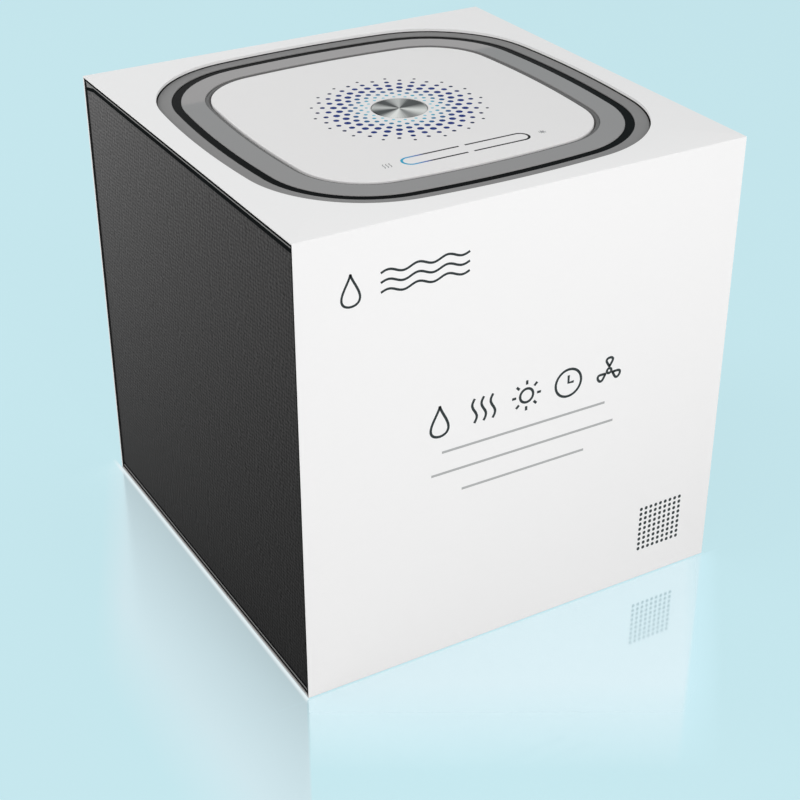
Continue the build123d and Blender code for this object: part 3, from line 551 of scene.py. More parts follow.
@dataclass(frozen=True)
class Guide(Finish):
    """Clear light guide whose tint follows its distance from the button, or its place across the plate; its
    pale and lit stops, near the button and at the line's left end, are painted LED light.

    Fields: what the tint follows; where the row of stops starts and ends; the stops; strength of the painted
    LED light it gives off.
    """

    axis: RampAxis = RampAxis.RADIUS
    start: float = 0.0
    end: float = 1.0
    stops: Sequence[tuple[float, Colour]] = ()
    painted_led_light: float = 0.0

    def pattern(self, recipe: Recipe) -> Inputs:
        """Tint from the row of stops, with a little painted LED light of the same tint.

        Args:
            recipe: Builder of the material.

        Returns:
            Inputs of the shader.
        """
        where, y, _ = recipe.axes()
        if self.axis is RampAxis.RADIUS:
            squares = recipe.maths("ADD", recipe.product(where, where), recipe.product(y, y))
            where = recipe.maths("SQRT", squares)
        tint = recipe.ramp(recipe.spread(where, self.start, self.end), self.stops)
        return {"Base Color": tint, "Emission Color": tint, "Emission Strength": self.painted_led_light}


@dataclass(frozen=True)
class Cellular(Finish):
    """Foam: open or closed cells of a size."""

    cell: float = 0.9 * MM

    def pattern(self, recipe: Recipe) -> Inputs:
        """Rounded cells as relief and shade."""
        cells = recipe.cells(self.cell)
        return self.formed(recipe, cells, recipe.rest(cells))


@dataclass(frozen=True)
class Laminate(Finish):
    """Circuit board: solder mask over copper tracks.

    Fields: colour over a track; size of the cells that the tracks run round, and their disorder; distance
    of a track from a cell's middle, and half its width.
    """

    track: Colour = (0.05, 0.24, 0.12)
    pitch: float = 2.2 * MM
    disorder: float = 0.75
    track_place: float = 0.42
    track_half: float = 0.07

    def pattern(self, recipe: Recipe) -> Inputs:
        """Tracks as the edges of square cells, a little lighter and raised.

        Args:
            recipe: Builder of the material.

        Returns:
            Inputs of the shader.
        """
        cells = recipe.cells(self.pitch, self.disorder, distance="CHEBYCHEV")
        beside = recipe.maths("ABSOLUTE", recipe.maths("SUBTRACT", cells, self.track_place))
        tracks = recipe.maths("LESS_THAN", beside, self.track_half)
        colour = recipe.blend(tracks, self.colour, self.track)
        return {"Base Color": colour, "Normal": recipe.relief(tracks, self.depth)}


@dataclass(frozen=True)
class Wound(Finish):
    """Winding of fine enamelled wire.

    Fields: size of the wire; bands of the wave in it; how much the turns waver.
    """

    metallic: float = 1.0
    wire: float = 0.25 * MM
    bands: float = 0.314
    waver: float = 0.3

    def pattern(self, recipe: Recipe) -> Inputs:
        """Turns of wire one over another."""
        inputs = {"Vector": recipe.place, "Scale": self.bands / self.wire, "Distortion": self.waver}
        return self.formed(recipe, recipe.add("ShaderNodeTexWave", inputs, bands_direction="Z").outputs[1])


@dataclass(frozen=True)
class Clear(Finish):
    """Clear quartz or plastic, which lets a share of light through and bends it."""

    passing: float = 0.92
    bending: float = 1.46

    def pattern(self, recipe: Recipe) -> Inputs:
        """Light passes through."""
        return {"Transmission Weight": self.passing, "IOR": self.bending}


@dataclass(frozen=True)
class Ink(Finish):
    """Printing ink, flat and even."""

    vary: float = 0.03


def grey(level: float) -> Colour:
    """Neutral colour."""
    return (level, level, level)


WHITE_BOARD = Board("white_coated_board", (0.872, 0.87, 0.87), 0.55, vary=0.006, depth=0.004 * MM)
BOARD_CORE = Board("board_core", (0.90, 0.895, 0.89), specular=0.05, vary=0.03)
# Painted shade: a darker grey copy of the board core, for the bottom panel's cut edge.
FOOT_EDGE_PAINTED_SHADE = Board("foot_edge_painted_shade", (0.60, 0.595, 0.595), vary=0.05)
DARK_MARGIN = Board("dark_lining_margin", grey(0.042), specular=0.02, vary=0.1, depth=0.01 * MM)
# Painted shade: the black lining stands in for shade inside the sleeve and in the gaps under its cut edges.
LINING_PAINTED_SHADE = Board("black_lining_painted_shade", grey(0.008), specular=0.02, vary=0.1, depth=0.01 * MM)
BLACK_PAPER = Board("black_paper", grey(0.005), vary=0.1, depth=0.01 * MM)
BARE_BOARD = Board("bare_grey_board", (0.30, 0.295, 0.29))
RAW_EDGE = Board("raw_board_edge", (0.26, 0.26, 0.255))
GREY_PAPER = Board("grey_paper", grey(0.16), depth=0.01 * MM)
KRAFT = Board("plain_riser_board", (0.62, 0.60, 0.56), 0.75, specular=0.5, vary=0.05)
# Linen paper: its colour carries painted shade, darker towards the bottom front.
LINEN = Linen("dark_linen_paper_painted_shade", (0.0462, 0.0454, 0.0453), 0.8, specular=0.01, vary=0.42, depth=0.06 * MM)
FOAM = Cellular("closed_cell_foam", (0.022, 0.022, 0.024), 0.85, specular=0.25, vary=0.45, depth=0.10 * MM)
FILTER_FOAM = Cellular("filter_foam", grey(0.10), 0.9, vary=0.6, depth=0.25 * MM, cell=1.2 * MM)
SMOKED = Moulded(
    "smoked_grey_plastic", (0.245, 0.241, 0.240), 0.45, specular=0.02, vary=0.02, depth=0.004 * MM
)
BEZEL = Moulded(
    "glossy_grey_plastic", (0.297, 0.292, 0.292), 0.02, specular=0.02, vary=0.015, depth=0.0001 * MM
)
BEVEL = Moulded(
    "bevel_grey_plastic", (0.140, 0.137, 0.136), 0.35, specular=0.02, vary=0.02, depth=0.002 * MM
)
MATT_BLACK = Moulded(
    "matt_black_plastic", (0.0050, 0.0047, 0.0047), 0.20, specular=0.004, vary=0.08, depth=0.001 * MM
)
SATIN_WHITE = Moulded(
    "satin_white_plastic", (0.80, 0.792, 0.790), 0.45, specular=0.03, vary=0.008, depth=0.003 * MM
)
SILICONE = Moulded("soft_silicone", (0.10, 0.105, 0.11), 0.55, vary=0.08, depth=0.012 * MM)
FOOT_RUBBER = Moulded("foot_rubber", grey(0.03), 0.75, vary=0.15, depth=0.02 * MM)
CHIP_BLACK = Moulded("chip_black", grey(0.02), 0.55, vary=0.1, depth=0.01 * MM)
LEAD_SKIN = Moulded("lead_insulation", grey(0.03), 0.5, vary=0.08, depth=0.01 * MM)
NYLON = Moulded("white_nylon", (0.78, 0.76, 0.70), 0.5, vary=0.04, depth=0.01 * MM)
CERAMIC = Moulded("heating_ceramic", (0.55, 0.52, 0.48), 0.65, vary=0.08, depth=0.02 * MM)
LINER = Brushed("rolled_aluminium", (0.75, 0.76, 0.77), 0.22, vary=0.05, depth=0.003 * MM)
ZINC = Brushed("zinc_plated_steel", (0.55, 0.55, 0.56), 0.30, vary=0.08, depth=0.002 * MM)
CAN = Brushed("drawn_can", (0.66, 0.67, 0.68), 0.25, vary=0.05, depth=0.002 * MM)
SPRING_STEEL = Brushed("spring_steel", grey(0.50), 0.28, vary=0.08, depth=0.002 * MM, way=BrushWay.ALONG_X)
FIN_METAL = Brushed(
    "fin_aluminium", (0.60, 0.61, 0.62), 0.35, vary=0.06, depth=0.004 * MM, way=BrushWay.ALONG_Y
)
# The button's colour carries painted highlight and shade sectors.
BUTTON_METAL = Turned(
    "turned_button_painted_highlights", (0.575, 0.512, 0.484), 0.32, specular=0.05, vary=1.0, depth=0.004 * MM
)
MASK_GREEN = Laminate("solder_mask", (0.012, 0.13, 0.065), 0.35, coat=0.3, vary=0.05, depth=0.03 * MM)
QUARTZ = Clear("clear_quartz", (0.92, 0.95, 0.98), 0.03, vary=0.01)
BRONZE = Finish("sintered_bronze", (0.50, 0.36, 0.20), 0.45, metallic=1.0, vary=0.15, patch=0.6 * MM)
COPPER = Wound("copper_winding", (0.55, 0.26, 0.12), 0.35, vary=0.3, depth=0.05 * MM)
DARK_INK = Ink("dark_ink", grey(0.016))
PALE_INK = Ink("pale_ink", grey(0.42))
SYMBOL_INK = Ink("symbol_ink", (0.27, 0.265, 0.265))
# Guide colours: the cyan and blue ones are painted LED light fading out; navy, deep navy and grey are the
# guides' own colour.
NAVY: Colour = (0.010, 0.030, 0.190)
DEEP_NAVY: Colour = (0.008, 0.010, 0.040)
TEAL_BLUE: Colour = (0.030, 0.140, 0.300)
CYAN: Colour = (0.10, 0.42, 0.56)
PALE_CYAN: Colour = (0.30, 0.62, 0.72)
LIT_BLUE: Colour = (0.02, 0.36, 0.52)
MID_BLUE: Colour = (0.05, 0.34, 0.60)
DIM_BLUE: Colour = (0.10, 0.16, 0.42)
DOT_GUIDE = Guide(
    "dot_light_guide", NAVY, 0.35, specular=0.01, start=11.0 * MM, end=31.5 * MM, painted_led_light=0.02,
    stops=((0.0, PALE_CYAN), (0.10, CYAN), (0.24, TEAL_BLUE), (0.42, NAVY), (0.72, NAVY), (0.92, DEEP_NAVY)),
)
LINE_GUIDE = Guide(
    "line_light_guide_painted_light", grey(0.02), 0.35, specular=0.01, axis=RampAxis.ACROSS, start=-25 * MM, end=25 * MM,
    painted_led_light=0.05, stops=((0.0, LIT_BLUE), (0.07, MID_BLUE), (0.16, DIM_BLUE), (0.21, grey(0.02)),
                      (0.9, grey(0.02)), (1.0, grey(0.003))),
)


# ------------------------------------------------------------------------------------------------
# Meshes
# ------------------------------------------------------------------------------------------------
@dataclass
class Surface:
    """Points and faces of a piece, before it becomes an object.

    Fields: points as an array of rows; faces as a list of arrays, each of faces with the same number of
    corners; finish number of each array.
    """

    points: np.ndarray
    faces: list[np.ndarray]
    kinds: list[int]

    def __add__(self, other: "Surface") -> "Surface":
        """Both surfaces in one."""
        moved = [face + len(self.points) for face in other.faces]
        return Surface(np.vstack([self.points, other.points]), self.faces + moved, self.kinds + other.kinds)


def grid_faces(rows: int, columns: int, round_rows: bool = False, round_columns: bool = False) -> np.ndarray:
    """Four-sided faces of a grid of points.

    Args:
        rows: Number of rows of points.
        columns: Number of points in a row.
        round_rows: Whether the last row joins the first.
        round_columns: Whether the last point of a row joins the first.

    Returns:
        An array of faces, four point numbers each.
    """
    row, column = np.meshgrid(
        np.arange(rows - (not round_rows)), np.arange(columns - (not round_columns)), indexing="ij"
    )
    next_row = (row + 1) % rows
    next_column = (column + 1) % columns
    sides = (
        row * columns + column,
        row * columns + next_column,
        next_row * columns + next_column,
        next_row * columns + column,
    )
    return np.stack([side.ravel() for side in sides], axis=1)


def thickened(skins: Sequence[np.ndarray], faces: np.ndarray) -> Surface:
    """Closed wall between skins that share one set of faces.

    Every open edge of the outer skin, which only one face uses, gets a face between each skin and the next.

    Args:
        skins: Points of the outer skin, and the same points on each skin under it, down to the inner one.
        faces: Faces of the outer skin, seen from outside.

    Returns:
        The surface, with the outer skin as kind 0, the cut edges of each layer as kinds 1 and on, and the
        inner skin as the last kind.
    """
    count = len(skins[0])
    edges = np.vstack([faces[:, [side, (side + 1) % 4]] for side in range(4)])
    keys = np.sort(edges, axis=1) @ np.array([count, 1])
    _, first, uses = np.unique(keys, return_index=True, return_counts=True)
    start, end = edges[first[uses == 1]].T
    cuts = [
        np.column_stack([end, start, start + count, end + count]) + count * layer
        for layer in range(len(skins) - 1)
    ]
    inside = faces[:, ::-1] + count * (len(skins) - 1)
    return Surface(np.vstack(skins), [faces, *cuts, inside], list(range(len(skins) + 1)))


def spun(radii: np.ndarray, heights: np.ndarray, centre: Place, count: int) -> Surface:
    """Profile turned about an upright axis; its ends are closed by points on the axis.

    A point is (radius times cosine of the turn, radius times sine of the turn, height).

    Args:
        radii: Radius of each point of the profile, from the bottom middle to the top middle.
        heights: Height of each point.
        centre: X and Y of the axis.
        count: Number of steps round.

    Returns:
        The closed surface.
    """
    turn = np.linspace(0, 2 * math.pi, count, endpoint=False)
    x = centre[0] + radii[:, None] * np.cos(turn)
    y = centre[1] + radii[:, None] * np.sin(turn)
    points = np.stack([x, y, np.broadcast_to(heights[:, None], x.shape)], axis=2).reshape(-1, 3)
    poles = np.array([[*centre, heights[0]], [*centre, heights[-1]]])
    step = np.arange(count)
    after = (step + 1) % count
    last = (len(radii) - 1) * count
    bottom = np.column_stack([after, step, np.full(count, len(points))])
    top = np.column_stack([last + step, last + after, np.full(count, len(points) + 1)])
    faces = [grid_faces(len(radii), count, round_columns=True), bottom, top]
    return Surface(np.vstack([points, poles]), faces, [0, 0, 0])


def make_object(
    name: str, surface: Surface, finishes: Sequence[Finish], smooth: float | None = None
) -> bpy.types.Object:
    """Object of a surface, at the origin.

    Args:
        name: Name of the object.
        surface: Its points and faces.
        finishes: Finish of each kind of face.
        smooth: Largest angle in radians that is shaded smooth, if any is.

    Returns:
        The object, linked to the scene.
    """
    mesh = bpy.data.meshes.new(name)
    faces = [face for group in surface.faces for face in group.tolist()]
    mesh.from_pydata(surface.points.tolist(), [], faces)
    kinds = np.concatenate([np.full(len(group), kind) for group, kind in zip(surface.faces, surface.kinds)])
    for finish in finishes:
        mesh.materials.append(finish.material())
    mesh.polygons.foreach_set("material_index", np.minimum(kinds, len(finishes) - 1).astype(np.int32))
    if smooth is not None:
        mesh.shade_smooth()
        mesh.set_sharp_from_angle(angle=smooth)
    mesh.validate()
    made = bpy.data.objects.new(name, mesh)
    bpy.context.scene.collection.objects.link(made)
    return made


def place_piece(piece: bpy.types.Object, body: str, slot: str, *nodes: str) -> None:
    """Let a piece ride on a body and hide the nodes that it stands for.

    Args:
        piece: The piece.
        body: Name of the body.
        slot: Name of the record's material slot; not used.
        nodes: Names of the nodes that the piece stands for.
    """
    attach(piece, body)
    if nodes:
        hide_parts(*nodes)
    LOG.info("%s rides on %s: %d faces", piece.name, body, len(piece.data.polygons))


def dress(finish: Finish, *nodes: str) -> None:
    """Give carried-over nodes a finish.

    Args:
        finish: The finish.
        nodes: Names of the nodes.
    """
    for name in nodes:
        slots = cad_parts[name].data.materials
        slots.clear()
        slots.append(finish.material())
        LOG.info("%s is dressed in %s", name, finish.name)


def arc(centre: Place, radius: float, start: float, end: float, count: int) -> np.ndarray:
    """Points on an arc: centre plus radius times cosine and sine of the turn, in degrees."""
    turn = np.radians(np.linspace(start, end, count))
    return np.column_stack([centre[0] + radius * np.cos(turn), centre[1] + radius * np.sin(turn)])


@dataclass(frozen=True)
class Sheet:
    """Flat place that thin shapes are laid on.

    Fields: a point of the plane; directions of the drawing's two axes; thickness of what is laid on it, and
    how far that is sunk into the plane.
    """

    origin: tuple[float, float, float]
    right: tuple[float, float, float] = (1.0, 0.0, 0.0)
    up: tuple[float, float, float] = (0.0, 0.0, 1.0)
    thickness: float = 0.04 * MM
    sunk: float = 0.01 * MM

    def lift(self, flat: np.ndarray, height: float) -> np.ndarray:
        """Points of the drawing at a height over the plane: origin plus both axes plus the normal.

        Args:
            flat: Points as pairs of coordinates.
            height: Height over the plane.

        Returns:
            Points in space.
        """
        right, up = np.array(self.right), np.array(self.up)
        normal = np.cross(right, up)
        return np.array(self.origin) + flat[..., :1] * right + flat[..., 1:] * up + height * normal

    def plate(self, rows: np.ndarray, closed: bool) -> Surface:
        """Thin closed piece over a grid of drawing points.

        Args:
            rows: Grid of points, with the path along the first axis and the width along the second, which
                runs from the path's right side to its left.
            closed: Whether the path's end joins its start.

        Returns:
            The piece, which starts a little below the plane.
        """
        count, across = rows.shape[:2]
        flat = rows.reshape(-1, 2)
        top = self.lift(flat, self.thickness - self.sunk)
        under = self.lift(flat, -self.sunk)
        merged = thickened([top, under], grid_faces(count, across, round_rows=closed)[:, ::-1])
        return Surface(merged.points, merged.faces, [0, 0, 0])

    def stroke(self, path: np.ndarray, width: float, closed: bool = False) -> Surface:
        """Line of even width: at each point of the path, half the width to each side of its direction.

        Args:
            path: Rows of two coordinates.
            width: Width of the line.
            closed: Whether the end joins the start.

        Returns:
            The thin piece.
        """
        before = np.roll(path, 1, axis=0)
        after = np.roll(path, -1, axis=0)
        if not closed:
            before[0] = path[0]
            after[-1] = path[-1]
        along = after - before
        along /= np.linalg.norm(along, axis=1, keepdims=True)
        side = np.column_stack([-along[:, 1], along[:, 0]]) * width / 2
        return self.plate(np.stack([path - side, path + side], axis=1), closed)

    def line(self, start: Place, end: Place, width: float) -> Surface:
        """Straight line of even width."""
        return self.stroke(np.linspace(start, end, 2), width)

    def circle(self, centre: Place, radius: float, width: float, count: int = 40) -> Surface:
        """Circle drawn with a line of even width."""
        return self.stroke(arc(centre, radius, 0, 360, count + 1)[:-1], width, closed=True)

    def disc(self, centre: Place, radius: float, count: int = 20) -> Surface:
        """Full round dot: two half circles that share their ends, joined across.

        Args:
            centre: Middle of the dot.
            radius: Radius of the dot.
            count: Points round it.

        Returns:
            The thin piece.
        """
        upper = arc(centre, radius, 0, 180, count // 2 + 1)
        lower = arc(centre, radius, 0, -180, count // 2 + 1)
        rows = np.stack([upper, lower], axis=1)[1:-1]
        return self.plate(rows, closed=False)


def rounded_loop(half_width: float, half_depth: float, radius: float, steps: int) -> np.ndarray:
    """Closed outline of a rectangle with round corners, anticlockwise from the right.

    Args:
        half_width: Half size along the first axis.
        half_depth: Half size along the second axis.
        radius: Radius of the corners.
        steps: Points on each corner.

    Returns:
        Rows of two coordinates.
    """
    x, y = half_width - radius, half_depth - radius
    quarters = ((x, y, 0), (-x, y, 90), (-x, -y, 180), (x, -y, 270))
    return np.vstack([arc((cx, cy), radius, start, start + 90, steps) for cx, cy, start in quarters])


def backwards(rows: Sequence[Any], side: float) -> np.ndarray:
    """Rows drawn towards the back of the +X end, or their mirror image for the -X end."""
    drawn = np.array(rows)
    return drawn if side > 0 else drawn[::-1] * (-1.0, 1.0)


def at_heights(loops: Sequence[tuple[np.ndarray, float]]) -> np.ndarray:
    """Points of flat loops, each at a height of its own."""
    return np.vstack([np.column_stack([loop, np.full(len(loop), height)]) for loop, height in loops])


def joined(parts: Sequence[Surface]) -> Surface:
    """All surfaces in one."""
    return reduce(lambda whole, part: whole + part, parts)


def weld(points: np.ndarray, faces: np.ndarray, digits: int = 8) -> tuple[np.ndarray, np.ndarray]:
    """Join points that share a place.

    Args:
        points: Rows of points.
        faces: Faces that number them.
        digits: Digits to which two places are the same.

    Returns:
        Number of the first point of each place, and faces that number the places.
    """
    _, first, place = np.unique(np.round(points, digits), axis=0, return_index=True, return_inverse=True)
    return first, place.ravel()[faces]


def drop(centre: Place, half: float, width: float = 0.9, steps: int = 48) -> np.ndarray:
    """Outline of a falling drop: a circle whose points narrow towards the tip.

    At a turn t from the bottom, the place to the side is the width times the sine of t times the squared
    cosine of half of t, and the height is less the cosine of t, both times half the drop's height.

    Args:
        centre: Middle of its height.
        half: Half of its height.
        width: Half width before the narrowing, as a share of half the height.
        steps: Number of points.

    Returns:
        Rows of two coordinates, anticlockwise.
    """
    turn = (np.arange(steps) + 0.5) * 2 * math.pi / steps
    wide = width * half * np.sin(turn) * np.cos(turn / 2) ** 2
    return np.column_stack([centre[0] + wide, centre[1] - half * np.cos(turn)])


def ripple(
    start: Place, length: float, height: float, waves: int, upright: bool = False, steps: int = 24
) -> np.ndarray:
    """Sine wave from a starting point.

    Args:
        start: First point.
        length: Length from end to end.
        height: Largest distance from the middle line.
        waves: Number of whole waves.
        upright: Whether it runs up, not right.
        steps: Number of steps in a wave.

    Returns:
        Rows of two coordinates.
    """
    along = np.linspace(0, 1, steps * waves + 1)
    out = height * np.sin(2 * math.pi * waves * along)
    columns = [out, length * along] if upright else [length * along, out]
    return np.array(start) + np.column_stack(columns)


def leaning(path: np.ndarray, lean: float) -> np.ndarray:
    """Path that leans to the right: each point moves by a share of its height over the first point."""
    return np.column_stack([path[:, 0] + lean * (path[:, 1] - path[0, 1]), path[:, 1]])


# ------------------------------------------------------------------------------------------------
# The dryer's outline
# ------------------------------------------------------------------------------------------------
@dataclass(frozen=True)
class Outline:
    """Rounded square of four bulged sides and four round corners, moved out or in by a constant distance.

    Fields: half width of the plate, radius of its sides and radius of its corners.
    """

    half_width: float = 57.4 * MM
    side_radius: float = 339.0 * MM
    corner_radius: float = 25.6 * MM

    def reach(self, turn: np.ndarray, offset: float) -> np.ndarray:
        """Distance from the middle to the outline in each direction.

        A ray meets a circle whose centre lies on an axis at c times cosine plus the root of the radius
        squared less c times sine squared. The corner's centre lies on the diagonal. The other six eighths
        are mirror images of the first.

        Args:
            turn: Directions in radians.
            offset: Distance from the plate's outline.

        Returns:
            One distance for each direction.
        """
        centre = self.half_width - self.side_radius
        apart = self.side_radius - self.corner_radius
        corner = (centre + math.sqrt(2 * apart**2 - centre**2)) / 2
        quarter = np.mod(turn, math.pi / 2)
        eighth = np.minimum(quarter, math.pi / 2 - quarter)
        side = self.side_radius + offset
        joint = math.atan2(corner, corner - centre)
        last = math.atan2(side * math.sin(joint), centre + side * math.cos(joint))
        along = centre * np.cos(eighth) + np.sqrt(side**2 - (centre * np.sin(eighth)) ** 2)
        sums = corner * (np.cos(eighth) + np.sin(eighth))
        spread = corner * (np.cos(eighth) - np.sin(eighth))
        round_part = sums + np.sqrt(np.maximum((self.corner_radius + offset) ** 2 - spread**2, 0.0))
        return np.where(eighth < last, along, round_part)


# ------------------------------------------------------------------------------------------------
# Sleeve and its print
# ------------------------------------------------------------------------------------------------
@dataclass
class Sleeve:
    """White folded board tube with the window.

    Fields: thickness of the board, of its black lining, whose black is painted shade, and of the lining in
    the front panel; width of the bare margin on the bottom panel and of the dark one on the back panel,
    and their thickness; radii of the folds outside and inside, and points on a fold; directions round the
    window, and its distance from the plate's outline; reach of a cut edge, a little over the board; play
    that tells the window's edge from an end's; largest angle that is shaded smooth.
    """

    board: float = 1.0 * MM
    lining: float = 0.50 * MM
    front_lining: float = 0.75 * MM
    low_margin: float = 0.36 * MM
    back_margin: float = 0.7 * MM
    margin_layer: float = 0.03 * MM
    fold_outside: float = 0.45 * MM
    fold_inside: float = 0.10 * MM
    fold_steps: int = 6
    directions: int = 360
    window_offset: float = 19.3 * MM
    cut_reach: float = 1.01 * MM
    end_play: float = 0.1 * MM
    smooth: float = math.radians(25)

    def build(self) -> None:
        """Make the sleeve and its margins."""
        self.shell()
        self.bare_margins()

    def skin(self, half: Vector, low: float, high: float, fold: float) -> tuple[np.ndarray, np.ndarray]:
        """One skin of the tube.

        The top is a fan of straight lines from the window's outline to the panel's border. The rest is
        the fold profile carried along X, at the places where those lines meet the front border.

        Args:
            half: Half sizes along X and Y.
            low: Height of the bottom panel.
            high: Height of the top panel.
            fold: Radius of the folds.

        Returns:
            Points, and faces seen from outside.
        """
        flat = half.y - fold
        corner = math.atan2(flat, half.x)
        corners = np.array([corner, math.pi - corner, math.pi + corner, 2 * math.pi - corner])
        even = np.arange(self.directions) * 2 * math.pi / self.directions
        turn = np.sort(np.concatenate([even, corners]))
        window = Outline().reach(turn, self.window_offset)
        border = np.minimum(half.x / np.abs(np.cos(turn)), flat / np.maximum(np.abs(np.sin(turn)), TINY))
        radius = np.stack([window, border])
        top = np.stack([radius * np.cos(turn), radius * np.sin(turn), np.full_like(radius, high)], axis=2)
        x = top[1][np.isclose(top[1][:, 1], -flat)][:, 0]
        profile = rounded_loop(half.y, (high - low) / 2, fold, self.fold_steps)
        profile[:, 1] += (high + low) / 2
        path = np.roll(profile, -self.fold_steps, axis=0)
        wrap = np.stack(np.broadcast_arrays(x[None, :], path[:, 0:1], path[:, 1:2]), axis=2)
        points = np.vstack([top.reshape(-1, 3), wrap.reshape(-1, 3)])
        fan = grid_faces(2, len(turn), round_columns=True)
        tube = grid_faces(len(path), len(x)) + 2 * len(turn)
        return points, np.vstack([fan, tube])[:, ::-1]

    def shell(self) -> None:
        """The board tube: a white ply over a black lining, cut at the window and both open ends. The lining's
        black is painted shade, standing in for the shade inside the tube and in the gaps beside the inner
        box.

        The lining shows in the cut edge of the top and the front panel as a line of painted shade. The other
        edges are pale; the bottom panel's is a duller grey copy of them, painted shade.
        """
        low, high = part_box("outer_sleeve")
        outer_half = Vector((high.x, high.y - INK, 0))
        inner_half = Vector((high.x, high.y - self.board, 0))
        outer, faces = self.skin(outer_half, low.z, high.z, self.fold_outside)
        inner, _ = self.skin(inner_half, low.z + self.board, high.z - self.board, self.fold_inside)
        in_front = inner[:, 1:2] < self.board - high.y + INK
        middle = inner + (outer - inner) * np.where(in_front, self.front_lining, self.lining) / self.board
        welded, faces = weld(outer, faces)
        surface = thickened([skin[welded] for skin in (outer, middle, inner)], faces)
        white, core, lining, inside = surface.faces
        cut = np.vstack([core, lining])
        corners = surface.points[cut]
        in_window = np.abs(corners[:, :, 0]).max(axis=1) < high.x - self.end_play
        at_foot_painted_shade = corners[:, :, 2].max(axis=1) < low.z + self.cut_reach
        at_back = corners[:, :, 1].min(axis=1) > high.y - self.cut_reach
        outer_ply = np.arange(len(cut)) < len(core)
        # Painted shade: the bottom panel's cut edge takes the darker grey, and the lining's cut edges stay
        # black.
        pale = (outer_ply | in_window | at_back) & ~at_foot_painted_shade
        dark = ~pale & ~at_foot_painted_shade
        groups = [white, cut[pale], cut[dark], cut[at_foot_painted_shade], inside]
        finishes = [WHITE_BOARD, BOARD_CORE, LINING_PAINTED_SHADE, FOOT_EDGE_PAINTED_SHADE]
        dressed = Surface(surface.points, groups, [0, 1, 2, 3, 2])
        piece = make_object("sleeve_board", dressed, finishes, self.smooth)
        place_piece(piece, "sleeve", "sleeve_board", "outer_sleeve")

    def bare_margins(self) -> None:
        """Margins inside each open end: bare grey on the bottom panel, dark grey on the back panel."""
        _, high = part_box("outer_sleeve")
        inset = self.board + self.fold_inside
        floor = Sheet((0.0, 0.0, self.board), up=(0.0, 1.0, 0.0), thickness=self.margin_layer)
        back = Sheet((0.0, high.y - self.board, 0.0), thickness=self.margin_layer)
        margins = (
            ("bare_margins", floor, self.low_margin, inset - high.y, high.y - inset, BARE_BOARD),
            ("back_margins", back, self.back_margin, inset, high.z - inset, DARK_MARGIN),
        )
        for name, sheet, width, start, end, finish in margins:
            places = [side * (high.x - width / 2) for side in (-1, 1)]
            strips = [sheet.line((x, start), (x, end), width) for x in places]
            place_piece(make_object(name, joined(strips), [finish]), "sleeve", "sleeve_board")


@dataclass(frozen=True)
class LineIcons:
    """Line icons of one size on a sheet.

    Fields: the sheet; half of an icon's size; width of the line; number of warm air's waves, of the sun's
    rays and of the fan's blades. All others are shares of the half size: distance of the waves, how far
    they stand to the left as a share of that, their length, height and lean; radius of the sun's disc and
    start of its rays; radius of the clock and length of its hands; radius of the fan's hub, and length of
    a blade; as shares of the blade, its half length, its middle, and its width against a drop's.
    """

    sheet: Sheet
    half: float
    width: float
    waves: int = 3
    rays: int = 8
    blades: int = 3
    wave_pitch: float = 0.62
    wave_shift: float = 0.0
    wave_length: float = 1.6
    wave_height: float = 0.16
    wave_lean: float = 0.0
    sun_disc: float = 0.45
    ray_start: float = 0.72
    clock: float = 0.9
    minute_hand: float = 0.5
    hour_hand: float = 0.38
    hub: float = 0.16
    blade: float = 0.92
    blade_half: float = 0.34
    blade_middle: float = 0.62
    blade_width: float = 1.25

    def drop(self, centre: Place) -> list[Surface]:
        """Falling drop."""
        return [self.sheet.stroke(drop(centre, self.half), self.width, closed=True)]

    def warm_air(self, centre: Place) -> list[Surface]:
        """Upright waves side by side.

        Args:
            centre: Middle of the icon.

        Returns:
            One thin piece for each wave.
        """
        parts = []
        length = self.wave_length * self.half
        for step in range(self.waves):
            right = (step - (self.waves - 1) / 2 - self.wave_shift) * self.wave_pitch * self.half
            foot = (centre[0] + right, centre[1] - length / 2)
            wave = ripple(foot, length, self.wave_height * self.half, 1, upright=True)
            parts.append(self.sheet.stroke(leaning(wave, self.wave_lean), self.width))
        return parts

    def sun(self, centre: Place) -> list[Surface]:
        """Small circle with rays around it.

        Args:
            centre: Middle of the icon.

        Returns:
            The circle and one thin piece for each ray.
        """
        middle = np.array(centre)
        turns = 2 * math.pi * np.arange(self.rays) / self.rays
        ways = np.column_stack([np.cos(turns), np.sin(turns)]) * self.half
        rays = [self.sheet.line(middle + way * self.ray_start, middle + way, self.width) for way in ways]
        return [self.sheet.circle(centre, self.half * self.sun_disc, self.width), *rays]

    def dial(self, centre: Place) -> list[Surface]:
        """Clock with two hands.

        Args:
            centre: Middle of the icon.

        Returns:
            The circle and the hands.
        """
        x, z = centre
        hands = np.array([(x, z + self.half * self.minute_hand), centre, (x + self.half * self.hour_hand, z)])
        face = self.sheet.circle(centre, self.half * self.clock, self.width)
        return [face, self.sheet.stroke(hands, self.width)]

    def fan(self, centre: Place) -> list[Surface]:
        """Hub with blades: each is a drop upside down, moved out from the middle and turned.

        Args:
            centre: Middle of the icon.

        Returns:
            The hub and one thin piece for each blade.
        """
        length = self.half * self.blade
        flat = drop((0.0, 0.0), length * self.blade_half) * (self.blade_width, -1.0)
        flat += (0.0, length * self.blade_middle)
        parts = [self.sheet.circle(centre, self.half * self.hub, self.width)]
        for angle in 2 * math.pi * np.arange(self.blades) / self.blades:
            spin = np.array([[math.cos(angle), math.sin(angle)], [-math.sin(angle), math.cos(angle)]])
            parts.append(self.sheet.stroke(np.array(centre) + (flat @ spin)[::-1], self.width, closed=True))
        return parts


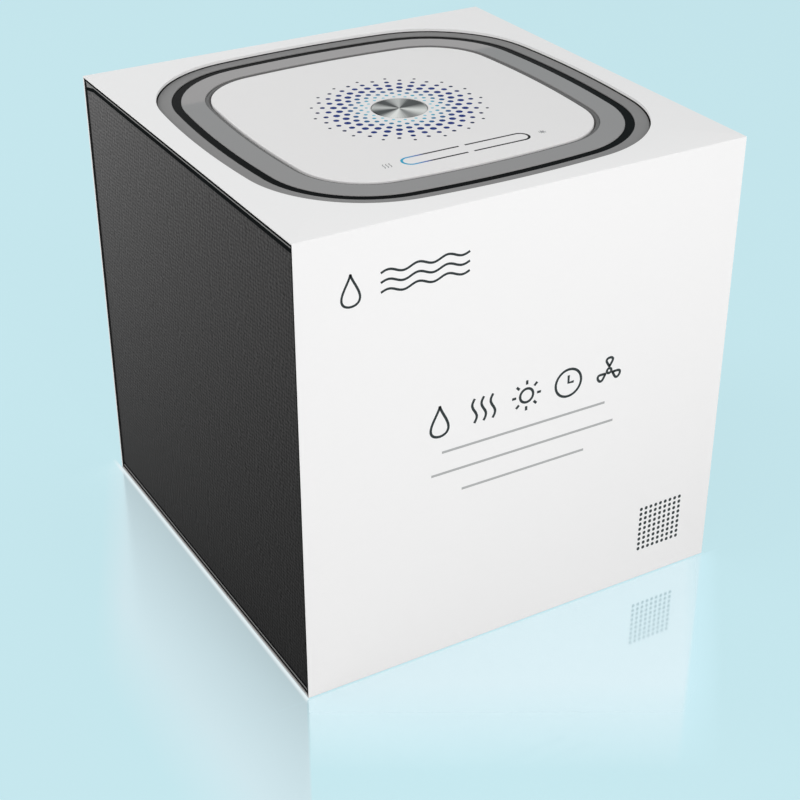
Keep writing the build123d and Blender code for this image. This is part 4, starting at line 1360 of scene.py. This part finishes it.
@dataclass
class FrontPrint:
    """Plain marks printed on the sleeve's front.

    Fields: place of the emblem's drop, half of the drop's height and width of the line; place of the
    middle wave beside the drop, and distance, length, height and number of the waves and of their bends;
    height, size, distance and line width of the icons; height and length of each rule, and its line
    width; middle of the square of dots, dots in a row, their distance and radius, and points round a dot.
    """

    drop_place: tuple[float, float] = (-66.0 * MM, 150.2 * MM)
    drop_half: float = 5.5 * MM
    emblem_line: float = 0.8 * MM
    wave_place: float = -55.55 * MM
    wave_pitch: float = 3.3 * MM
    wave_length: float = 31.9 * MM
    wave_height: float = 0.77 * MM
    bends: int = 3
    icon_height: float = 94.8 * MM
    icon_half: float = 5.8 * MM
    icon_pitch: float = 17.0 * MM
    icon_line: float = 0.95 * MM
    rule_rows: Sequence[tuple[float, float]] = (
        (82.5 * MM, 66 * MM), (74.3 * MM, 74 * MM), (65.8 * MM, 50 * MM)
    )
    rule_line: float = 0.9 * MM
    dots_place: tuple[float, float] = (62.3 * MM, 22.1 * MM)
    dots_count: int = 9
    dots_pitch: float = 2.2 * MM
    dots_radius: float = 0.72 * MM
    dot_steps: int = 12

    def build(self) -> None:
        """Print a drop beside waves, a row of icons, level rules and a square of dots."""
        low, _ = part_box("outer_sleeve")
        front = Sheet((0.0, low.y + INK, 0.0))
        groups = {
            "front_emblem": (self.emblem(front), DARK_INK),
            "front_icons": (self.icons(front), DARK_INK),
            "front_rules": (self.rules(front), PALE_INK),
            "front_dots": (self.dot_square(front), DARK_INK),
        }
        for name, (parts, finish) in groups.items():
            place_piece(make_object(name, joined(parts), [finish]), "sleeve", "sleeve_board")

    def emblem(self, front: Sheet) -> list[Surface]:
        """Small drop beside three waves, one over another.

        Args:
            front: The sleeve's front.

        Returns:
            Thin pieces.
        """
        parts = [front.stroke(drop(self.drop_place, self.drop_half), self.emblem_line, closed=True)]
        for step in (-1, 0, 1):
            start = (self.wave_place, self.drop_place[1] + step * self.wave_pitch)
            wave = ripple(start, self.wave_length, self.wave_height, self.bends)
            parts.append(front.stroke(wave, self.emblem_line))
        return parts

    def icons(self, front: Sheet) -> list[Surface]:
        """Five line icons in a row: drop, warm air, light, clock and fan.

        Args:
            front: The sleeve's front.

        Returns:
            Thin pieces.
        """
        icons = LineIcons(front, self.icon_half, self.icon_line)
        kinds = (icons.drop, icons.warm_air, icons.sun, icons.dial, icons.fan)
        places = [(step * self.icon_pitch, self.icon_height) for step in range(-2, 3)]
        return [part for kind, place in zip(kinds, places) for part in kind(place)]

    def rules(self, front: Sheet) -> list[Surface]:
        """Level rules, centred one under another."""
        return [front.line((-length / 2, z), (length / 2, z), self.rule_line) for z, length in self.rule_rows]

    def dot_square(self, front: Sheet) -> list[Surface]:
        """Even square of round dots.

        Args:
            front: The sleeve's front.

        Returns:
            One thin piece for each dot.
        """
        x, z = self.dots_place
        steps = (np.arange(self.dots_count) - (self.dots_count - 1) / 2) * self.dots_pitch
        places = [(x + right, z + up) for right in steps for up in steps]
        return [front.disc(place, self.dots_radius, self.dot_steps) for place in places]


# ------------------------------------------------------------------------------------------------
# Inner box
# ------------------------------------------------------------------------------------------------
@dataclass
class InnerBox:
    """Dark box: linen paper drawn round its walls; on each end wall a black band of painted shadow along the
    top and a black paper strip along the foot.

    Fields: radius of the upright edges outside and at least inside, and points on one; thickness of the
    board; half sizes of the rim's hole; radius of the thin boards' corners, and points on one; width of
    the bare margin on top of the upper and of the lower thin board; height of the painted shadow band at
    the top and of the strip at the foot; how far the painted shadow band drops at its back corner; width
    and height of the pale corner triangle, its distance from the top, and its height at the narrow end;
    thickness of the paper; largest angle that is shaded smooth.
    """

    edge_radius: float = 0.4 * MM
    least_radius: float = 0.1 * MM
    edge_steps: int = 7
    board: float = 2.0 * MM
    hole: tuple[float, float] = (82.3 * MM, 81.8 * MM)
    thin_radius: float = 0.3 * MM
    thin_steps: int = 2
    margin: float = 0.10 * MM
    low_margin: float = 0.25 * MM
    painted_shadow_band: float = 1.85 * MM
    low_strip: float = 0.9 * MM
    painted_shadow_drop: float = 1.15 * MM
    fold_width: float = 6.5 * MM
    fold_height: float = 1.5 * MM
    fold_under: float = 0.25 * MM
    fold_start: float = 0.05 * MM
    paper: float = 0.05 * MM
    smooth: float = math.radians(35)

    def build(self) -> None:
        """Make the wrapped walls, the strips and the thin boards, and dress the other boards."""
        self.walls()
        self.strips()
        self.corner_folds()
        self.edge_board("upper_edge_board", self.margin, self.hole)
        self.edge_board("lower_edge_board", self.low_margin)
        dress(BLACK_PAPER, "box_base_board")
        dress(GREY_PAPER, "box_rim_cover")
        dress(KRAFT, "riser")
        dress(FOAM, "cradle")

    def skin(self, inset: float) -> np.ndarray:
        """Points of the walls' outline, moved in by an inset, at both heights.

        Args:
            inset: Distance from the outer face.

        Returns:
            Rows of points: the lower loop, then the upper one.
        """
        low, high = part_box("box_walls")
        radius = max(self.edge_radius - inset, self.least_radius)
        loop = rounded_loop(high.x - inset, high.y - inset, radius, self.edge_steps)
        return at_heights([(loop, low.z), (loop, high.z)])

    def walls(self) -> None:
        """Four walls: an outer and an inner skin with round upright edges."""
        skins = [self.skin(inset) for inset in (0.0, self.board)]
        faces = grid_faces(2, len(skins[0]) // 2, round_columns=True)
        piece = make_object("linen_walls", thickened(skins, faces), [LINEN], self.smooth)
        place_piece(piece, "inner_box", "dark_paper", "box_walls")

    def edge_board(self, name: str, margin: float, hole: tuple[float, float] | None = None) -> None:
        """Thin board in black paper, bare at its cut edge and on a margin on top.

        With a hole, its section is a closed loop of five levels from the hole to the border and back, and
        the faces that start at the third and the fourth are bare.

        Args:
            name: Name of the node that the board stands for.
            margin: Width of the margin.
            hole: Half sizes of the hole, if it has one.
        """
        low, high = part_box(name)
        border, inside = [
            rounded_loop(high.x - inset, high.y - inset, self.thin_radius, self.thin_steps)
            for inset in (0.0, margin)
        ]
        count = len(border)
        levels = [(inside, high.z), (border, high.z), (border, low.z)]
        if hole:
            opening = rounded_loop(*hole, self.thin_radius, self.thin_steps)
            levels = [(opening, low.z), (opening, high.z), *levels]
            faces = grid_faces(len(levels), count, round_rows=True, round_columns=True)[:, ::-1]
            bare = np.isin(faces[:, 3] // count, (2, 3))
            groups = [faces[~bare], faces[bare]]
        else:
            ring = np.arange(count)[None, :]
            bare = grid_faces(len(levels), count, round_columns=True)[:, ::-1]
            groups = [np.vstack([ring, ring[:, ::-1] + 2 * count]), bare]
        surface = Surface(at_heights(levels), groups, [0, 1])
        piece = make_object(name + "_piece", surface, [BLACK_PAPER, RAW_EDGE])
        place_piece(piece, "inner_box", "grey_board", name)

    def end_sheet(self, side: float, thickness: float) -> Sheet:
        """Outer face of the left or the right end wall, as a place for paper of a thickness."""
        return Sheet((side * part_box("box_walls")[1].x, 0.0, 0.0), (0.0, side, 0.0), thickness=thickness)

    def strips(self) -> None:
        """Black strips on both end walls: the top one is painted shadow of the sleeve's edge and drops at its
        back corner; the bottom one is black paper at the foot.
        """
        low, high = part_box("box_walls")
        flat_y = high.y - self.edge_radius
        top, bottom = high.z - self.painted_shadow_band, low.z + self.low_strip
        painted_shadow_drop_from = flat_y - self.fold_width
        # Painted shadow: the top band stands in for the sleeve edge's shadow, deeper towards the back corner.
        rows = [
            [[(-flat_y, top), (-flat_y, high.z)], [(painted_shadow_drop_from, top), (painted_shadow_drop_from, high.z)],
             [(flat_y, top - self.painted_shadow_drop), (flat_y, high.z)]],
            [[(-flat_y, low.z), (-flat_y, bottom)], [(flat_y, low.z), (flat_y, bottom)]],
        ]
        for name, side in (("foot_strip_and_painted_shadow_left", -1.0), ("foot_strip_and_painted_shadow_right", 1.0)):
            place = self.end_sheet(side, self.paper)
            surface = joined([place.plate(backwards(row, side), closed=False) for row in rows])
            place_piece(make_object(name, surface, [BLACK_PAPER]), "inner_box", "dark_paper")

    def corner_folds(self) -> None:
        """Small pale triangle over the painted shadow band at the back corner of each end."""
        _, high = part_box("box_walls")
        flat_y, top = high.y - self.edge_radius, high.z - self.fold_under
        rows = [
            [(flat_y - self.fold_width, top - self.fold_start), (flat_y - self.fold_width, top)],
            [(flat_y, top - self.fold_height), (flat_y, top)],
        ]
        for name, side in (("corner_fold_left", -1.0), ("corner_fold_right", 1.0)):
            surface = self.end_sheet(side, 2 * self.paper).plate(backwards(rows, side), closed=False)
            place_piece(make_object(name, surface, [RAW_EDGE]), "inner_box", "dark_paper")


# ------------------------------------------------------------------------------------------------
# Hood
# ------------------------------------------------------------------------------------------------
@dataclass
class Hood:
    """Lift-off hood: moulded shells, light panel, button and works.

    Fields: place, half size, line width and ink of the two symbols beside the light line; half size and
    middle dot of the lamp symbol; bevel and dish of the button, its rings, its steps round, the share of
    its radius that the middle point's ring has, and the largest angle that is shaded smooth; wire, number
    of turns and points of a turn of the button's spring, points round its wire, and its smooth angle.
    """

    symbol_x: float = 30.2 * MM
    symbol_y: float = -44.4 * MM
    symbol_half: float = 1.65 * MM
    symbol_line: float = 0.36 * MM
    symbol_ink: float = 0.03 * MM
    lamp_half: float = 1.35 * MM
    lamp_core: float = 0.40 * MM
    bevel: float = 0.35 * MM
    dish: float = 0.06 * MM
    face_rings: int = 24
    face_steps: int = 128
    face_middle: float = 0.02
    face_smooth: float = math.radians(20)
    spring_wire: float = 0.5 * MM
    spring_turns: float = 3.0
    turn_steps: int = 40
    wire_steps: int = 10
    wire_smooth: float = math.radians(60)

    def build(self) -> None:
        """Dress the hood's nodes and add its fine pieces."""
        dress(SMOKED, "hood_shell")
        dress(BEZEL, "gloss_bezel")
        dress(BEVEL, "bevel_ring")
        dress(MATT_BLACK, "trim_ring", "button_plunger", "button_guide", "fan_frame", "fan_rotor", "dc_jack")
        dress(SATIN_WHITE, "top_plate", "chamber_ceiling")
        dress(LINER, "chamber_liner")
        dress(SILICONE, "rim_seal")
        dress(ZINC, "board_screws", "ceiling_screws", "fan_screws", "fan_shaft", "temperature_probe")
        dress(DOT_GUIDE, "dot_light_guide")
        dress(LINE_GUIDE, "heat_light_line", "lamp_light_line")
        dress(MASK_GREEN, "led_board", "control_board")
        dress(CHIP_BLACK, "tact_switch", "control_chip")
        dress(NYLON, "indicator_leds", "board_spacers", "board_sockets", "heater_frame", "uv_leds")
        dress(CAN, "capacitors")
        dress(CERAMIC, "heater_bars")
        dress(FIN_METAL, "heater_fins", "uv_board", "uv_heat_sink")
        dress(QUARTZ, "uv_window")
        dress(BRONZE, "fan_bearing")
        dress(COPPER, "fan_stator")
        dress(LEAD_SKIN, "power_lead", "lamp_lead", "fan_lead", "heater_lead")
        dress(FILTER_FOAM, "intake_filter")
        self.symbols()
        self.button()
        self.spring()

    def symbols(self) -> None:
        """Warm air symbol at the left of the light line and a lamp symbol at its right."""
        _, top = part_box("top_plate")
        plate = Sheet((0.0, 0.0, top.z), up=(0.0, 1.0, 0.0), thickness=self.symbol_ink)
        slanted = LineIcons(
            plate, self.symbol_half, self.symbol_line, wave_pitch=0.72, wave_shift=0.35, wave_length=2.0,
            wave_height=0.12, wave_lean=0.25,
        )
        warm = slanted.warm_air((-self.symbol_x, self.symbol_y))
        lamp_place = (self.symbol_x, self.symbol_y)
        lamp = LineIcons(plate, self.lamp_half, self.symbol_line).sun(lamp_place)
        lamp.append(plate.disc(lamp_place, self.lamp_core))
        for name, parts in (("warm_air_symbol", warm), ("lamp_symbol", lamp)):
            place_piece(make_object(name, joined(parts), [SYMBOL_INK]), "hood", "white_plastic")

    def button(self) -> None:
        """Turned metal face: flat under side, upright edge, small bevel and a face with a shallow dish.

        The dish is deepest in the middle and rises with the square of the distance from it.
        """
        low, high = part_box("button_disc")
        radius, flat = high.x, high.x - self.bevel
        share = np.linspace(1.0, self.face_middle, self.face_rings)
        radii = np.concatenate([[self.face_middle * radius, flat, radius, radius], share * flat])
        edge = [low.z, low.z, low.z + self.bevel, high.z - self.bevel]
        heights = np.concatenate([edge, high.z - self.dish * (1 - share**2)])
        surface = spun(radii, heights, (0.0, 0.0), self.face_steps)
        piece = make_object("button_face", surface, [BUTTON_METAL], self.face_smooth)
        place_piece(piece, "start_button", "button_metal", "button_disc")

    def spring(self) -> None:
        """Coil spring under the button, left in place without riding on any body.

        The coil's middle line is (radius times cosine of the turn, radius times sine of the turn, height).
        Round each of its points lies a ring across the coil, from the outward and the upward direction.
        """
        low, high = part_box("button_spring")
        wire = self.spring_wire / 2
        steps = int(self.spring_turns * self.turn_steps) + 1
        turn = np.linspace(0, 2 * math.pi * self.spring_turns, steps)
        height = np.linspace(low.z + wire, high.z - wire, steps)
        round_wire = np.arange(self.wire_steps) * 2 * math.pi / self.wire_steps
        out = high.x - wire + wire * np.cos(round_wire)
        x, y = np.cos(turn)[:, None] * out, np.sin(turn)[:, None] * out
        z = height[:, None] + wire * np.sin(round_wire)
        points = np.stack([x, y, z], axis=2).reshape(-1, 3)
        ring = np.arange(self.wire_steps)
        ends = np.array([ring[::-1], ring + (steps - 1) * self.wire_steps])
        tube = grid_faces(steps, self.wire_steps, round_columns=True)
        surface = Surface(points, [tube[:, ::-1], ends], [0, 0])
        piece = make_object("button_coil", surface, [SPRING_STEEL], self.wire_smooth)
        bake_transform(piece)
        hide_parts("button_spring")
        LOG.info("%s stretches from hood to start_button: %d faces", piece.name, len(piece.data.polygons))


# ------------------------------------------------------------------------------------------------
# Base
# ------------------------------------------------------------------------------------------------
@dataclass
class DryerBase:
    """Base tray with its deck, mat, weight and feet."""

    def build(self) -> None:
        """Dress the base's nodes."""
        dress(SMOKED, "base_tray")
        dress(SATIN_WHITE, "base_deck")
        dress(SILICONE, "drying_mat")
        dress(FOOT_RUBBER, "rubber_feet")
        dress(ZINC, "base_weight", "base_screws")


# ------------------------------------------------------------------------------------------------
# Studio
# ------------------------------------------------------------------------------------------------
BACKDROP: Colour = (0.572, 0.812, 0.868)


def stage_panel(name: str, corners: Sequence[Place], finish: str) -> tuple[bpy.types.Object, Recipe]:
    """Flat four-sided piece of the studio.

    Args:
        name: Name of the piece.
        corners: Its corners, anticlockwise.
        finish: Name of its material.

    Returns:
        The piece, and the builder of its material's nodes.
    """
    piece = make_object(name, Surface(np.array(corners, float), [np.array([[0, 1, 2, 3]])], [0]), [])
    material, recipe = new_material(finish)
    piece.data.materials.append(material)
    return piece, recipe


@dataclass
class Floor:
    """Pale floor. What is seen of it is mostly its plain colour, with part of the shadow.

    Before the front and at the sides it mirrors part of the object. Before the front and at the left its
    colour also holds a painted sheen, a painted reflection of the object's pale faces. At the sides both
    fall off with the distance from the object. Before the front they fall off along one direction across
    the floor. A pale line along the left foot is a painted reflection of the sleeve's white cut edge.
    Light that bounces off the floor is neutral.

    Fields: half size; colour for bounced light; share of the real shadow; painted sheen before the front
    and at the left; colour of the pale line, a painted reflection, and where it starts to fade and ends;
    share and blur of the mirror image before the front and at the sides; how far the front's zone widens
    to the left and narrows at the right for a metre before the front; direction in degrees along which
    its painted sheen and mirror image grow, from a start to an end, and their ends at the right as shares
    of the object's half width; how far the sides' zone reaches past the object's corners, how far its
    mirror image reaches and how it falls, and where it starts; how far the left's painted sheen moves
    forward for a metre to the left, its ends at the back as shares of the object's half depth, its reach
    and the share of that where it starts to fade; width over which a zone begins, and over which the pale
    line does.
    """

    half: float = 4.0
    bounce: Colour = (0.72, 0.72, 0.72)
    shadow_share: float = 0.14
    painted_front_sheen: Colour = (0.655, 0.915, 1.0)
    painted_side_sheen: Colour = (0.655, 0.822, 0.875)
    painted_foot_reflection: Colour = (0.80, 0.90, 0.93)
    foot_reflection_fade: tuple[float, float] = (0.9 * MM, 1.9 * MM)
    front_mirror: float = 0.39
    side_mirror: float = 0.25
    front_blur: float = 0.07
    side_blur: float = 0.15
    corner_slant: float = 0.485
    front_slant: float = 0.8
    front_turn: float = 29.95
    front_growth: tuple[float, float] = (-152.0 * MM, -108.0 * MM)
    front_end: tuple[float, float] = (0.9, 1.1)
    side_past: float = 8.0 * MM
    side_reach: float = 45.0 * MM
    side_power: float = 1.5
    side_start: tuple[float, float] = (0.6 * MM, 1.6 * MM)
    side_slant: float = 2.3
    painted_sheen_back: tuple[float, float] = (0.9, 1.2)
    painted_sheen_reach: float = 58.0 * MM
    painted_sheen_full: float = 0.6
    rim: float = 1.0 * MM
    foot_reflection_rim: float = 0.1 * MM

    def build(self) -> None:
        """Make the floor and its shader."""
        half = self.half
        corners = [(-half, -half, 0), (half, -half, 0), (half, half, 0), (-half, half, 0)]
        _, room = stage_panel("floor", corners, "pale_floor")
        x, y, _ = room.axes()
        before = room.past(-CAD_BOX[1].y, y)
        is_before = room.spread(before, 0.0, self.rim)
        left_end = room.sum_of(before, self.corner_slant, x)
        right_of_corner = room.spread(left_end, -CAD_BOX[1].x - self.rim, -CAD_BOX[1].x)
        is_front = room.product(right_of_corner, is_before)
        front = self.front(room, is_front, before)
        beyond_side = room.past(room.maths("ABSOLUTE", y), CAD_BOX[1].y)
        at_sides = room.maths("MAXIMUM", room.fall(beyond_side, 0.0, self.side_past), is_before)
        is_beside = room.product(at_sides, room.rest(is_front))
        # Painted sheen and painted reflections in the floor's own colour; the mirror below is real gloss.
        tint = room.blend(front, self.side_tint_with_painted_sheen(room, is_beside), self.painted_front_sheen)
        side_share = room.product(self.side(room, is_beside), self.side_mirror)
        share = room.sum_of(front, self.front_mirror, side_share)
        blur = room.sum_of(is_front, self.front_blur - self.side_blur, self.side_blur)
        plain = room.shader("Emission", {"Color": tint})
        lit = room.shader("BsdfDiffuse", {"Color": tint})
        shown = room.shader("MixShader", {0: self.shadow_share, 1: plain, 2: lit})
        mirror = room.shader("BsdfGlossy", {"Color": WHITE, "Roughness": blur})
        glossy = room.shader("MixShader", {0: share, 1: shown, 2: mirror})
        bounce = room.shader("BsdfDiffuse", {"Color": self.bounce})
        whole = room.shader("MixShader", {0: room.seen(), 1: bounce, 2: glossy})
        room.add("ShaderNodeOutputMaterial", {0: whole})

    def front(self, room: Recipe, is_front: Socket, before: Socket) -> Socket:
        """Strength of the painted sheen before the front, which also sets the share of the real mirror image
        there.

        Args:
            room: Builder of the material.
            is_front: One in the front's zone.
            before: Distance before the front.

        Returns:
            Strength from 0 to 1.
        """
        x, y, _ = room.axes()
        turn = math.radians(self.front_turn)
        across = room.sum_of(x, math.sin(turn), room.product(y, math.cos(turn)))
        ends = (share * CAD_BOX[1].x for share in self.front_end)
        right = room.fall(room.sum_of(before, self.front_slant, x), *ends)
        return room.product(is_front, room.spread(across, *self.front_growth), right)

    def side(self, room: Recipe, is_beside: Socket) -> Socket:
        """Strength of the mirror image at the sides.

        Args:
            room: Builder of the material.
            is_beside: One in the sides' zone.

        Returns:
            Strength from 0 to 1.
        """
        beside = room.past(room.maths("ABSOLUTE", room.axes()[0]), CAD_BOX[1].x)
        closeness = room.maths("POWER", room.fall(beside, 0.0, self.side_reach), self.side_power)
        return room.product(is_beside, closeness, room.spread(beside, *self.side_start))

    def side_tint_with_painted_sheen(self, room: Recipe, is_beside: Socket) -> Socket:
        """Colour of the floor at the sides, with the left's painted sheen and the pale line along its foot, a
        painted reflection of the sleeve's white cut edge.

        Args:
            room: Builder of the material.
            is_beside: One in the sides' zone.

        Returns:
            The colour.
        """
        x, y, _ = room.axes()
        at_left = room.past(-CAD_BOX[1].x, x)
        ends = (share * CAD_BOX[1].y for share in self.painted_sheen_back)
        # Painted sheen at the left: a pale patch that stands in for light off the object.
        sheen = room.product(
            is_beside,
            room.fall(room.sum_of(at_left, self.side_slant, y), *ends),
            room.spread(at_left, 0.0, self.rim),
            room.fall(at_left, self.painted_sheen_full * self.painted_sheen_reach, self.painted_sheen_reach),
        )
        # Painted reflection: a pale line along the left foot, for the sleeve's white cut edge.
        line = room.product(
            is_beside, room.spread(at_left, 0.0, self.foot_reflection_rim), room.fall(at_left, *self.foot_reflection_fade)
        )
        return room.blend(line, room.blend(sheen, BACKDROP, self.painted_side_sheen), self.painted_foot_reflection)


@dataclass
class Studio:
    """Camera, world, floor, a card that only gloss sees, and lamps.

    Fields: focal length in millimetres, nearest distance seen, turns in degrees and place of the camera;
    strength of the world's light; strength, sides, top and distance of the card; size of a lamp; name,
    place and power in watts of each lamp.
    """

    focal: float = 74.64
    nearest: float = 0.01
    azimuth: float = 29.95
    elevation: float = 30.12
    roll: float = -0.10
    eye: Vector = Vector((-0.27677, -0.48042, 0.37206))
    world_light: float = 0.54
    card_light: float = 2.1
    card_sides: tuple[float, float] = (0.20, 0.85)
    card_top: float = 0.543
    card_back: float = 1.0
    lamp_size: float = 0.5
    lamps: Sequence[tuple[str, Place, float]] = (
        ("front_lamp", (0.05, -0.85, 0.52), 3.9),
        ("left_lamp", (-0.72, 0.58, 0.66), 4.5),
    )

    def build(self) -> None:
        """Set up everything that isn't the object."""
        self.camera()
        self.world()
        Floor().build()
        self.card()
        for name, place, power in self.lamps:
            self.lamp(name, place, power)
        bpy.context.scene.view_settings.view_transform = "Standard"

    def camera(self) -> None:
        """Camera at the viewing angle."""
        data = bpy.data.cameras.new("camera")
        data.lens = self.focal
        data.clip_start = self.nearest
        camera = bpy.data.objects.new("camera", data)
        bpy.context.scene.collection.objects.link(camera)
        turn = Matrix.Rotation(-math.radians(self.azimuth), 4, "Z")
        tilt = Matrix.Rotation(math.radians(90 - self.elevation), 4, "X")
        roll = Matrix.Rotation(math.radians(self.roll), 4, "Z")
        camera.matrix_world = Matrix.Translation(self.eye) @ turn @ tilt @ roll
        bpy.context.scene.camera = camera

    def world(self) -> None:
        """Even white light, seen as the backdrop's colour by the camera, by gloss and through glass."""
        world = bpy.data.worlds.new("studio")
        bpy.context.scene.world = world
        world.use_nodes = True
        room = Recipe(world.node_tree)
        light = room.shader("Background", {"Color": WHITE, "Strength": self.world_light})
        shown = room.shader("Background", {"Color": BACKDROP})
        mix = room.shader("MixShader", {0: room.seen(), 1: light, 2: shown})
        room.add("ShaderNodeOutputWorld", {0: mix})

    def card(self) -> None:
        """White card behind the object, which only gloss sees: its straight top edge shows in the bezel."""
        left, right = self.card_sides
        flat = [(left, 0.0), (right, 0.0), (right, self.card_top), (left, self.card_top)]
        corners = [(x, self.card_back, z) for x, z in flat]
        card, recipe = stage_panel("reflection_card", corners, "white_card")
        for kind in ("camera", "diffuse", "shadow", "transmission", "volume_scatter"):
            setattr(card, "visible_" + kind, False)
        shine = recipe.shader("Emission", {"Color": WHITE, "Strength": self.card_light})
        recipe.add("ShaderNodeOutputMaterial", {0: shine})

    def lamp(self, name: str, place: Place, power: float) -> None:
        """One soft lamp that faces the object.

        Args:
            name: Name of the lamp.
            place: Where it stands.
            power: Power in watts.
        """
        data = bpy.data.lights.new(name, "AREA")
        data.size = self.lamp_size
        data.energy = power
        lamp = bpy.data.objects.new(name, data)
        bpy.context.scene.collection.objects.link(lamp)
        lamp.visible_glossy = False
        lamp.location = place
        aim = Vector((0, 0, CAD_BOX[1].z / 2)) - Vector(place)
        lamp.rotation_euler = aim.to_track_quat("-Z", "Y").to_euler()


def main() -> None:
    """Build the dressed part and the studio."""
    logging.basicConfig(level=logging.INFO, format="%(message)s")
    for assembly in (Studio(), Sleeve(), FrontPrint(), InnerBox(), DryerBase(), Hood()):
        LOG.info("building %s", type(assembly).__name__)
        assembly.build()


if __name__ == "__main__":
    main()
